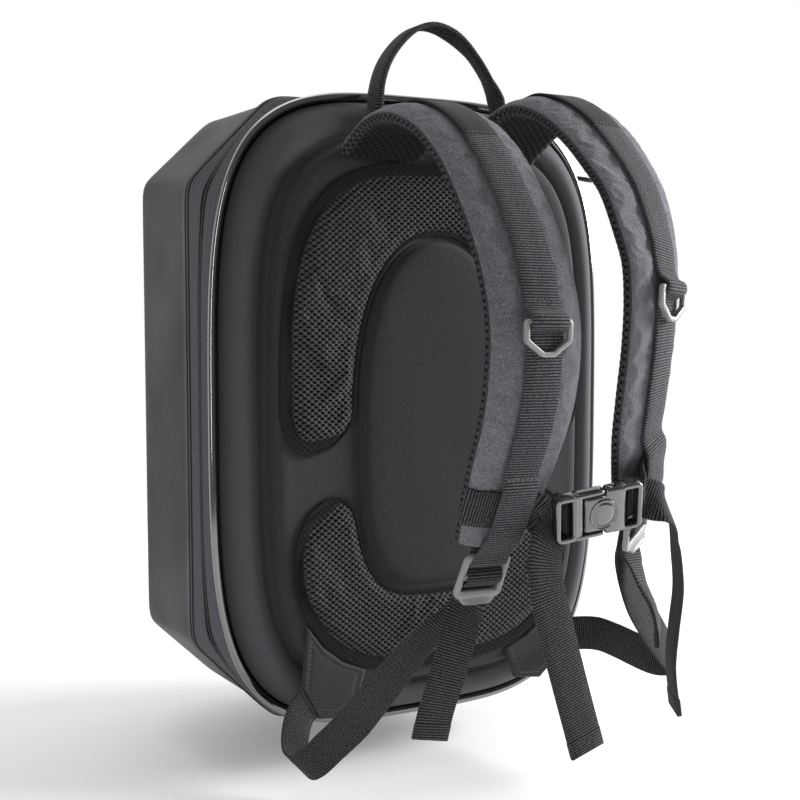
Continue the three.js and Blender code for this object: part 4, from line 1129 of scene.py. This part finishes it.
LOWER_TAIL = {
    "left": [((-47, -163, -106), (-0.98, 0, -0.2)), ((-54, -167, -121), (-0.96, 0, -0.25)),
             ((-61, -168, -140), (-0.96, 0.1, -0.25)), ((-66, -166, -157), (-0.97, 0.1, -0.2)),
             ((-69, -164, -173), (-0.97, 0.1, -0.2))],
    "right": [((65, -177, -84), (0.75, 0.6, 0.1)), ((66.5, -182, -95), (0.7, 0.7, 0.1)),
              ((71, -184, -105), (0.65, 0.7, 0)), ((75.5, -184, -116), (0.65, 0.7, 0.1)),
              ((79, -182, -129.5), (0.65, 0.7, 0.1))],
}


def tab_exit(side):
    """First two rows, square to the tab's short side: just off it, and 4 mm out."""
    sign = -SIDE_SIGN[side]
    (x2, z2), (x1, z1) = TAB_EDGE[side][:2]
    length = math.hypot(x2 - x1, z2 - z1)
    dx, dz = (x2 - x1) / length, (z2 - z1) / length
    across = (sign * dx, 0, dz)

    def leave(by):
        return (sign * ((x1 + x2) / 2 - by * dz), TAB_Y, (z1 + z2) / 2 + by * dx)

    return [(leave(0.6), across), (leave(4.0), across)]


def lower_webbing(side):
    """Rows from the tab, along the loose run, through the lock and down the tail."""
    lock = LOCKS[side]
    level = lock.across * SIDE_SIGN[side]
    threaded = [(point, level) for point in lock.thread(LOCK_THREAD)]
    at, across = zip(*(tab_exit(side) + LOWER_RUN[side] + threaded + LOWER_TAIL[side]))
    return webbing_strip(at, across, shear=(True, False), hem=9.0, ruled=RULED_ROWS[side])


LOOSE_STRIPS = {side: lower_webbing(side) for side in STRAPS}
for side, strip in LOOSE_STRIPS.items():
    make_piece(f"loose_webbing_{side}", [strip], DARK_WEBBING, f"lower_webbing_{side}")

# %% [markdown]
# The chest strap crosses in front: webbing sewn under the strap webbing on each side, passed from behind into
# the slots of a side release buckle, with its spare length hanging down behind it. Its left end wraps the
# strap's padded edge. The buckle is fastened and a little tilted, so its own directions are kept in one small
# frame.

# %% Chest webbing
BUCKLE_AT = np.array([8.5, -214.0, -42.0])
BUCKLE_X = unit(np.array([0.95, -0.25, 0.17]))
BUCKLE_OUT = np.array([-0.2, -0.9, -0.4])
BUCKLE_Z = unit(BUCKLE_OUT - BUCKLE_X * (BUCKLE_OUT @ BUCKLE_X))
BUCKLE_Y = np.cross(BUCKLE_Z, BUCKLE_X)
BUCKLE_AXES = (BUCKLE_X, BUCKLE_Y, BUCKLE_Z)
SLOT_ENTRY = [(30, -5.4), (25, -5.2), (21, -4.0), (18.4, -1.6), (17.4, 0.4)]
TAIL_START = {
    "left": [((-12, 5, -8.6), (-0.75, 0.66)), ((-19, -4, -8.8), (-0.75, 0.66))],
    "right": [((14, 1, -8.2), (0, 1)), ((26, -1, -8.2), (0, 1))],
}
CHEST_SEAM = {
    "left": [(-26.3, -6.4), (-25.4, -4.2), (-22.5, -2.2), (-17.5, -0.7), (-12, 0.6), (-6, CHEST_LIFT),
             (6, CHEST_LIFT), (13, CHEST_LIFT)],
    "right": [(14, CHEST_LIFT), (2, CHEST_LIFT), (-12, CHEST_LIFT)],
}
CHEST_TAIL = {
    "left": [((-20.5, -207, -62), (-0.88, 0, 0.46)), ((-23, -212, -82), (-0.97, 0, 0.2)),
             ((-16, -211, -107), (-0.99, 0, -0.1)), ((-6, -210, -138), (-0.97, 0, -0.2)),
             ((1.5, -210, -162), (-0.96, 0, -0.25)), ((6.5, -210, -178), (-0.95, 0, -0.3))],
    "right": [((52, -218, -42), (-0.1, 0.5, 0.85)), ((65, -211, -58), (0.3, 0.7, 0.6)),
              ((72, -206, -76), (0.4, 0.85, 0.2)), ((76, -203, -95), (0.45, 0.89, 0)),
              ((75, -201, -118), (0.45, 0.89, 0)), ((74, -200, -140), (0.45, 0.89, 0)),
              ((78, -200, -168), (0.45, 0.89, 0))],
}


def chest_webbing(side):
    """Two strips: under the strap's webbing into the buckle's slot, and from behind the buckle down."""
    strap = STRAPS[side]
    seam = np.array(CHEST_SEAM[side], float)
    t = np.full(len(seam), float(strap.row_at(CHEST_Z[side])))
    entry = [(SIDE_SIGN[side] * x, 0, z) for x, z in SLOT_ENTRY]
    at = np.concatenate([strap.place(t, seam[:, 0], seam[:, 1]), placed(entry, BUCKLE_AT, BUCKLE_AXES)])
    across = np.concatenate([-strap.axes(t)[1], np.tile(BUCKLE_Y, (len(entry), 1))])
    start = [(placed(point, BUCKLE_AT, BUCKLE_AXES), x * BUCKLE_X + y * BUCKLE_Y)
             for point, (x, y) in TAIL_START[side]]
    tail_at, tail_across = zip(*(start + CHEST_TAIL[side]))
    return [webbing_strip(at, across), webbing_strip(tail_at, tail_across, hem=10.0)]


CHEST_STRIPS = {side: chest_webbing(side) for side in STRAPS}
for side, strips in CHEST_STRIPS.items():
    make_piece(f"chest_strap_webbing_{side}", strips, DARK_WEBBING, f"chest_webbing_{side}")

# %% [markdown]
# Hard fittings are bars bent into loops: a rounded section carried round a closed path with soft corners. The
# path is a polygon whose corners are cut back and rounded, and the section may be wider on some sides.

# %% Bars on closed paths
def soft_loop(corners, radius, steps=6):
    """A polygon with each corner replaced by a quadratic curve that starts and ends a radius away from it."""
    corners = np.asarray(corners, float)
    before, after = np.roll(corners, 1, axis=0), np.roll(corners, -1, axis=0)
    start = corners + unit(before - corners) * radius
    end = corners + unit(after - corners) * radius
    t = np.linspace(0, 1, steps)[None, :, None]
    arcs = (1 - t) ** 2 * start[:, None] + 2 * t * (1 - t) * corners[:, None] + t ** 2 * end[:, None]
    return arcs.reshape(-1, 2)


def superellipse(sides, power):
    """A unit section: cosine and sine of the turn, each with its size to the power of 2 over power."""
    turn = full_turn(sides)
    return [np.sign(f) * np.abs(f) ** (2 / power) for f in (np.cos(turn), np.sin(turn))]


def heading(path):
    """Directions along a closed path, from the point before to the point after."""
    return unit(np.roll(path, -1, axis=0) - np.roll(path, 1, axis=0))


def loop_bar(path, width, thickness, power=4.0, sides=16):
    """A bar on a flat closed path: a superellipse, its width in the path's plane, its thickness out of it."""
    along = heading(path)
    normal = np.stack([along[:, 1], -along[:, 0]], axis=-1)
    wide, tall = superellipse(sides, power)
    half = np.broadcast_to(width, len(path)) / 2
    plane = path[:, None] + normal[:, None] * (half[:, None] * wide)[..., None]
    return np.concatenate([plane, np.broadcast_to(tall * thickness / 2, plane.shape[:2])[..., None]], axis=-1)


UNIT_SQUARE = [(-1, -1), (1, -1), (1, 1), (-1, 1)]
print("a square with soft corners is as wide as", np.ptp(soft_loop(UNIT_SQUARE, 0.3)[:, 0]))

# %% [markdown]
# The rings are flat D shapes with slanted lower sides. Each hangs in the webbing's tunnel and can swing, so
# it rides on its own body.

# %% D-rings
RING_PATH = [(-13.4, 0), (-13.4, -10.0), (-3.4, -17.2), (3.4, -17.2), (13.4, -10.0), (13.4, 0)]
ring_loop = loop_bar(soft_loop(RING_PATH, radius=1.4), width=2.7, thickness=3.2, power=7.0)
for side, strap in STRAPS.items():
    t = float(strap.row_at(RING_Z[side]))
    across = strap.axes(t)[2][0]
    up = unit(np.array([0, 0, 1]) - across * across[2])
    bar = strap.place(t, 0, RING_BAR_LIFT)[0]
    d_ring = skin(placed(ring_loop, bar, (across, up, np.cross(across, up))), wrap_u=True)
    make_piece(f"d_ring_bar_{side}", [d_ring], RING_ENAMEL, f"d_ring_{side}", f"ring_{side}")

# %% [markdown]
# A ladder lock grips the webbing by friction: a frame with a bar across its middle and a lip to lift it by.
# The frame's top and bottom are broader than its sides.

# %% Ladder locks
def straight_bar(start, end, width, thickness, stations=8, sides=14, power=4.0):
    """A straight bar with rounded ends: the section shrinks as a quarter ellipse near both ends."""
    start, end = np.asarray(start, float), np.asarray(end, float)
    s = 0.5 - 0.5 * np.cos(np.linspace(0.08, np.pi - 0.08, stations))
    near = np.minimum(s, 1 - s) * np.linalg.norm(end - start) / (width / 2)
    shrink = np.sqrt(np.clip(1 - np.clip(1 - near, 0, 1) ** 2, 0.04, 1))
    along = unit(end - start)
    normal = np.array([along[1], -along[0]])
    wide, tall = superellipse(sides, power)
    middle = start + (end - start) * s[:, None]
    plane = middle[:, None] + normal * (shrink[:, None] * wide * width / 2)[..., None]
    return np.concatenate([plane, (shrink[:, None] * tall * thickness / 2)[..., None]], axis=-1)


def thumb_lip():
    """A curved lip below the frame: its width narrows and its face curls outwards with the distance down."""
    down, across = np.meshgrid(np.linspace(0, 1, 10), np.linspace(-1, 1, 14), indexing="ij")
    x = across * (12.6 - 4 * down ** 2)
    y = -12.8 - 5.0 * down
    z = 2.2 * down ** 1.6
    top = np.stack([x, y, z + 1.5 - 0.5 * np.abs(across) ** 4], axis=-1)
    under = np.stack([x, y, z - 0.6 + 0.4 * np.abs(across) ** 4], axis=-1)
    return np.concatenate([top, under[:, ::-1]], axis=1)


LOCK_CORNERS = [(-13.2, 12.0), (-13.9, -12.6), (13.9, -12.6), (13.2, 12.0)]
LOCK_HALF = 13.4
LOCK_BARS = [(0.0, 3.8), (-1.6, 1.2)]
lock_path = soft_loop(LOCK_CORNERS, radius=4.0, steps=8)
level_share = np.abs(heading(lock_path)[:, 0])
lock_loop = loop_bar(lock_path, width=3.2 + 2.6 * level_share, thickness=3.6)
open_parts = [straight_bar((-LOCK_HALF, height), (LOCK_HALF, height), width, thickness=3.2)
              for height, width in LOCK_BARS] + [thumb_lip()]
for side, lock in LOCKS.items():
    parts = [skin(placed(lock_loop, lock.at, lock.axes), wrap_u=True)]
    parts += [skin(placed(part, lock.at, lock.axes), caps=True) for part in open_parts]
    make_piece(f"ladder_lock_frame_{side}", parts, LOCK_PLASTIC, f"ladder_lock_{side}")

# %% [markdown]
# The buckle's socket is a pillow with a slot for its webbing at one end and a raised oval in its middle; the
# plug has the same slot and two spring arms that lie along the socket's sides. Both are lofts: a rounded
# section that changes along the buckle.

# %% Side release buckle
def pillow(stations, sides=36, power=5.0):
    """Loft along x: rows give x, half width across and half thickness; the section is a superellipse."""
    x, half, thick = np.array(stations, float).T[..., None]
    wide, tall = superellipse(sides, power)
    return np.stack([np.broadcast_to(x, (len(x), sides)), half * wide, thick * tall], axis=-1)


def oval_button(sides=48):
    """Disc in polar rows: a low rim, a moat inside it, and a dome by the fourth power of the radius."""
    r = np.array([1.0, 0.98, 0.95, 0.92, 0.89, 0.86, 0.83, 0.8, 0.76, 0.7, 0.6, 0.4, 0.2, 0.03])[:, None]
    turn = full_turn(sides)
    dome = 1.3 * np.clip(1 - (r / 0.8) ** 4, 0, 1)
    top = 4.1 + 0.9 * np.exp(-((r - 0.95) / 0.03) ** 2) + dome
    x, y = 2 + 8.4 * r * np.cos(turn), 9.8 * r * np.sin(turn)
    upper = np.stack([x, y, np.broadcast_to(top, x.shape)], axis=-1)
    lower = np.stack([x[[-1, 0]], y[[-1, 0]], np.full((2, sides), 2.0)], axis=-1)
    return np.concatenate([lower, upper])


def buckle_skin(grid, **wraps):
    """A skin of buckle coordinates: x from plug to socket, y across and z out."""
    return skin(placed(grid, BUCKLE_AT, BUCKLE_AXES), **wraps)


SLOT_NEAR, SLOT_FAR, SLOT_HALF = 13.8, 24.2, 13.4
ARM_Y = 13.5


def slot_frame(sign):
    """Loop of bar round a webbing slot, from the body to the buckle's end."""
    near, far = sign * SLOT_NEAR, sign * SLOT_FAR
    corners = [(near, -SLOT_HALF), (far, -SLOT_HALF), (far, SLOT_HALF), (near, SLOT_HALF)]
    return loop_bar(soft_loop(corners, radius=2.6), width=3.4, thickness=7.2)


SOCKET_ROWS = [(-9, 9.5, 2.4), (-8.8, 11.0, 3.4), (-7.5, 11.5, 3.9), (-2, 11.6, 4.0), (3.8, 11.6, 4.0),
               (4.0, 14.2, 3.6), (4.8, 15, 3.9), (10, 15, 4.0), (14, 15, 3.9), (14.8, 14.6, 3.5),
               (15, 13, 2.4)]
PLUG_ROWS = [(-16, 13, 2.2), (-15.8, 14.4, 3.1), (-15, 15, 3.4), (-11.5, 15, 3.5), (-10.2, 14.8, 3.2),
             (-9.5, 13, 2.2)]
socket = [buckle_skin(pillow(SOCKET_ROWS), caps=True), buckle_skin(oval_button(), caps=True),
          buckle_skin(slot_frame(1), wrap_u=True)]
make_piece("buckle_socket_body", socket, BUCKLE_PLASTIC, "buckle_socket")
plug = [buckle_skin(pillow(PLUG_ROWS), caps=True), buckle_skin(slot_frame(-1), wrap_u=True)]
for edge in (-1, 1):
    arm = straight_bar((-16, edge * ARM_Y), (3.4, edge * ARM_Y), width=2.9, thickness=7.0)
    plug.append(buckle_skin(arm, caps=True))
make_piece("buckle_plug_body", plug, BUCKLE_PLASTIC, "buckle_plug")

# %% [markdown]
# A cloth tab is sewn into each lower corner of the back, beside the mesh pad, and holds the lower webbing.
# It is a patch stretched between two edges: the pad's outline above and the tab's own corners below.

# %% Corner tabs
TAB_ANGLES = np.radians([234, 240, 246, 252])
TAB_LENGTH, TAB_WIDTH = 45, 40


def tab_patch(side, u, v):
    """Points x, z of the ruled patch: u from 0 to 3 along both edges, v from the pad to the tab's edge."""
    r = reach(LOWER_PAD["outer"], TAB_ANGLES) + 1.2
    upper = np.stack([r * np.cos(TAB_ANGLES), r * np.sin(TAB_ANGLES)], axis=-1)
    top, low = (at_places(u, np.arange(4), line) for line in (upper, TAB_EDGE[side]))
    return (top + (low - top) * np.asarray(v)[..., None]) * [-SIDE_SIGN[side], 1]


def corner_tab(side):
    """The patch with a front and a back; its rim is rounded as it thins out."""
    u, v = np.meshgrid(np.linspace(0, 3, 40), np.linspace(0, 1, 30), indexing="ij")
    x, z = np.moveaxis(tab_patch(side, u, v), -1, 0)
    rim = np.minimum(np.minimum(u, 3 - u) / 3 * TAB_LENGTH, np.minimum(v, 1 - v) * TAB_WIDTH)
    inward = np.clip(1 - rim / (TAB_THICKNESS / 2), 0, 1)
    half = TAB_THICKNESS / 2 * np.sqrt(np.clip(1 - inward ** 2, 0.03, 1))
    seam = 0.5 * np.exp(-((rim - 4.5) / 0.9) ** 2)
    front = np.stack([x, TAB_Y - half + seam, z], axis=-1)
    back = np.stack([x, TAB_Y + half, z], axis=-1)
    return skin(np.concatenate([front, back[:, ::-1]], axis=1), caps=True)


for side in STRAPS:
    make_piece(f"corner_tab_{side}", [corner_tab(side)], MOULDED_CLOTH, f"anchor_tab_{side}")

# %% [markdown]
# Sewing shows as short dashes of thread. One dash is a small spindle of a few faces; a row of stitches is
# that spindle placed at even steps along a line, all copies at once. The lines run across the webbing beside
# each ring and the chest strap, over the hems, and round the corner tabs.

# %% Stitches
STITCH_PITCH = 2.9
STITCH_HALF = (0.95, 0.33, 0.28)
SEWN_SHARE = 0.84
SPINDLE_ROWS = [(-1.0, 0.3, 0.3), (-0.7, 1.0, 1.0), (0.7, 1.0, 1.0), (1.0, 0.3, 0.3)]
STITCH = skin(pillow(SPINDLE_ROWS, sides=6, power=2) * STITCH_HALF, caps=True)
SEAM_U = (0.32, 2.68)
SEAM_V = (0.1, 0.86)
SEAM_STEPS = 40
SEAM_Y = TAB_Y - TAB_THICKNESS / 2 + 0.3


def stitch_row(line, out):
    """Copies of the stitch along a line of points, each lying along the line with its top turned out."""
    run = length_run(line)
    places = np.arange(STITCH_PITCH / 2, run[-1], STITCH_PITCH)
    at, before, after = (at_places(places + shift, run, line) for shift in (0, -0.5, 0.5))
    along = unit(after - before)
    up = unit(out - along * (along * out).sum(-1, keepdims=True))
    axes = np.stack([along, np.cross(up, along), up], axis=1)
    points = at[:, None] + STITCH["points"] @ axes
    shift = len(STITCH["points"]) * np.arange(len(places))[:, None, None]
    return {"points": points.reshape(-1, 3), "marks": {},
            "faces": [(face + shift).reshape(-1, face.shape[1]) for face in STITCH["faces"]],
            "uvs": [np.tile(uv, (len(places), 1, 1)) for uv in STITCH["uvs"]]}


def across_webbing(strip, run, face=1):
    """A row of stitches across a strip at a length run, on its outer (1) or inner (-1) face."""
    track = strip["track"]
    k = int(np.argmin(np.abs(track["run"] - run)))
    out = face * track["out"][k]
    line = track["at"][k] + track["side"][k] * np.linspace(-SEWN_SHARE, SEWN_SHARE, 12)[:, None] + out
    return stitch_row(line, out)


def run_at(strip, point):
    """Length run where a strip passes closest to a point."""
    return strip["track"]["run"][np.argmin(np.linalg.norm(strip["track"]["at"] - point, axis=1))]


def tab_seams(side):
    """Three rows of stitches on a corner tab: along its free edge, and up both of its ends."""
    free = (np.linspace(*SEAM_U, SEAM_STEPS), np.full(SEAM_STEPS, SEAM_V[1]))
    ends = [(np.full(SEAM_STEPS, u), np.linspace(*SEAM_V, SEAM_STEPS)) for u in SEAM_U]
    for u, v in [free] + ends:
        x, z = tab_patch(side, u, v).T
        yield stitch_row(np.stack([x, np.full(SEAM_STEPS, SEAM_Y), z], axis=-1), np.array([0.0, -1.0, 0.0]))


for side, strap in STRAPS.items():
    sewn = SEWN_STRIPS[side]
    rows = [across_webbing(sewn, COVER - 2)]
    heights = [RING_Z[side] + 10.5, RING_Z[side] - 11, CHEST_Z[side] + 17.5]
    for z in heights:
        place = float(strap.row_at(z))
        rows.append(across_webbing(sewn, run_at(sewn, strap.place(place, 0, FLAT_LIFT)[0])))
    for strip, hem in ((LOOSE_STRIPS[side], 7.5), (CHEST_STRIPS[side][1], 8.5)):
        rows += [across_webbing(strip, strip["track"]["run"][-1] - hem, face) for face in (1, -1)]
    rows += tab_seams(side)
    make_piece(f"sewing_thread_{side}", rows, THREAD)

# %% [markdown]
# High on the right the zip's slider sits on the coil: a small wedge with a short pull that stands off the
# tape. The tape's own lean at that corner gives its directions.

# %% Zip slider
SLIDER_TURN = math.radians(50)
SLIDER_LIFT = 2.9
PULL_TILT = math.radians(50)
PULL_SEAT = 2.4
WEDGE_ROWS = [(-7, 4.2, 1.3), (-6.4, 4.8, 1.9), (-2, 5, 2), (3, 4.6, 2), (6.5, 3, 1.8), (8, 1.6, 1.0)]
PULL_ROWS = [(-13.6, 1.6, 0.8), (-13, 2.6, 1.5), (-9, 2.8, 1.7), (0, 2.3, 1.3), (1.6, 1.4, 0.9)]
ALONG_Y = [1, 0, 2]
around_slider = SLIDER_TURN + np.radians([-1, 0, 1])
before, slider_middle, after = zip_ring(COIL_SHARE, COIL_Y, angle=around_slider)
front_edge, rear_edge = (zip_ring(*edge, angle=around_slider)[1] for edge in (TAPE_FRONT[1], TAPE_REAR[0]))
uphill = unit(after - before)
away = unit(np.cross(front_edge - rear_edge, uphill))
slider_axes = (np.cross(uphill, away), uphill, away)
slider_at = slider_middle + away * SLIDER_LIFT
wedge = pillow(WEDGE_ROWS, sides=24)[..., ALONG_Y]
tilt = np.array([[1, 0, 0], [0, math.cos(PULL_TILT), -math.sin(PULL_TILT)],
                 [0, math.sin(PULL_TILT), math.cos(PULL_TILT)]])
pull = pillow(PULL_ROWS, sides=20)[..., ALONG_Y] @ tilt + [0, 0, PULL_SEAT]
parts = [skin(placed(part, slider_at, slider_axes), caps=True) for part in (wedge, pull)]
make_piece("zip_slider_body", parts, COIL_NYLON, "zip_slider")

# %% [markdown]
# The studio: a pale floor just below the backpack, a surround that is bright behind it and dim in front, a
# broad light at the right, one above, and a narrow one at the left for the glints on the piping. The floor is
# a stage and not part of the object.

# %% Floor and light
FLOOR_GAP = 0.006
FLOOR_RADIUS = 0.95
FLOOR_SIDES = 128
floor_z = cad_box[0].z - FLOOR_GAP
floor_mesh = bpy.data.meshes.new("studio_floor")
floor_rim = [(FLOOR_RADIUS * math.cos(turn), FLOOR_RADIUS * math.sin(turn), floor_z)
             for turn in full_turn(FLOOR_SIDES)]
floor_mesh.from_pydata(floor_rim, [], [range(FLOOR_SIDES)])
floor_finish = Finish("studio_floor", {"Roughness": 0.9, "Specular IOR Level": 0.2, "Emission Strength": 0.12,
                                       "Emission Color": (1, 1, 1, 1)})
floor_finish.wire("Base Color", floor_finish.mix(floor_finish.noise(floor_finish.coords(), 3.0),
                                                 (0.88, 0.88, 0.88), (0.9, 0.9, 0.9)))
floor_mesh.materials.append(floor_finish.material)
floor = bpy.data.objects.new("studio_floor", floor_mesh)
scene.collection.objects.link(floor)

world = bpy.data.worlds.new("studio_surround")
world.use_nodes = True
nodes, links = world.node_tree.nodes, world.node_tree.links
behind = nodes.new("ShaderNodeVectorMath")
behind.operation = "DOT_PRODUCT"
behind.inputs[1].default_value = (0.35, 0.94, 0.0)
links.new(nodes.new("ShaderNodeTexCoord").outputs["Generated"], behind.inputs[0])
brightness = nodes.new("ShaderNodeMapRange")
for name, value in (("From Min", -0.3), ("From Max", 0.3), ("To Min", 0.2), ("To Max", 1.0)):
    brightness.inputs[name].default_value = value
links.new(behind.outputs["Value"], brightness.inputs["Value"])
links.new(brightness.outputs[0], nodes["Background"].inputs["Strength"])
nodes["Background"].inputs["Color"].default_value = (1, 1, 1, 1)
scene.world = world
LIGHTS = [("light_above", (-0.1, 0.5, 1.3), 1.0, 1.0, 5.0),
          ("light_right", (1.9, -0.55, 0.45), 1.0, 1.0, 82.0),
          ("light_left", (-1.5, -1.0, 0.1), 0.2, 1.2, 7.0)]
TARGET = Vector((0, 0, -0.22))
for name, at, width, height, power in LIGHTS:
    light = bpy.data.objects.new(name, bpy.data.lights.new(name, "AREA"))
    light.data.shape = "RECTANGLE"
    light.data.size, light.data.size_y = width, height
    light.data.energy = power
    light.location = at
    light.rotation_euler = (TARGET - light.location).to_track_quat("-Z", "Y").to_euler()
    scene.collection.objects.link(light)
scene.view_settings.view_transform = "Standard"
print("floor at", round(floor_z, 4), "lights:", len(LIGHTS))
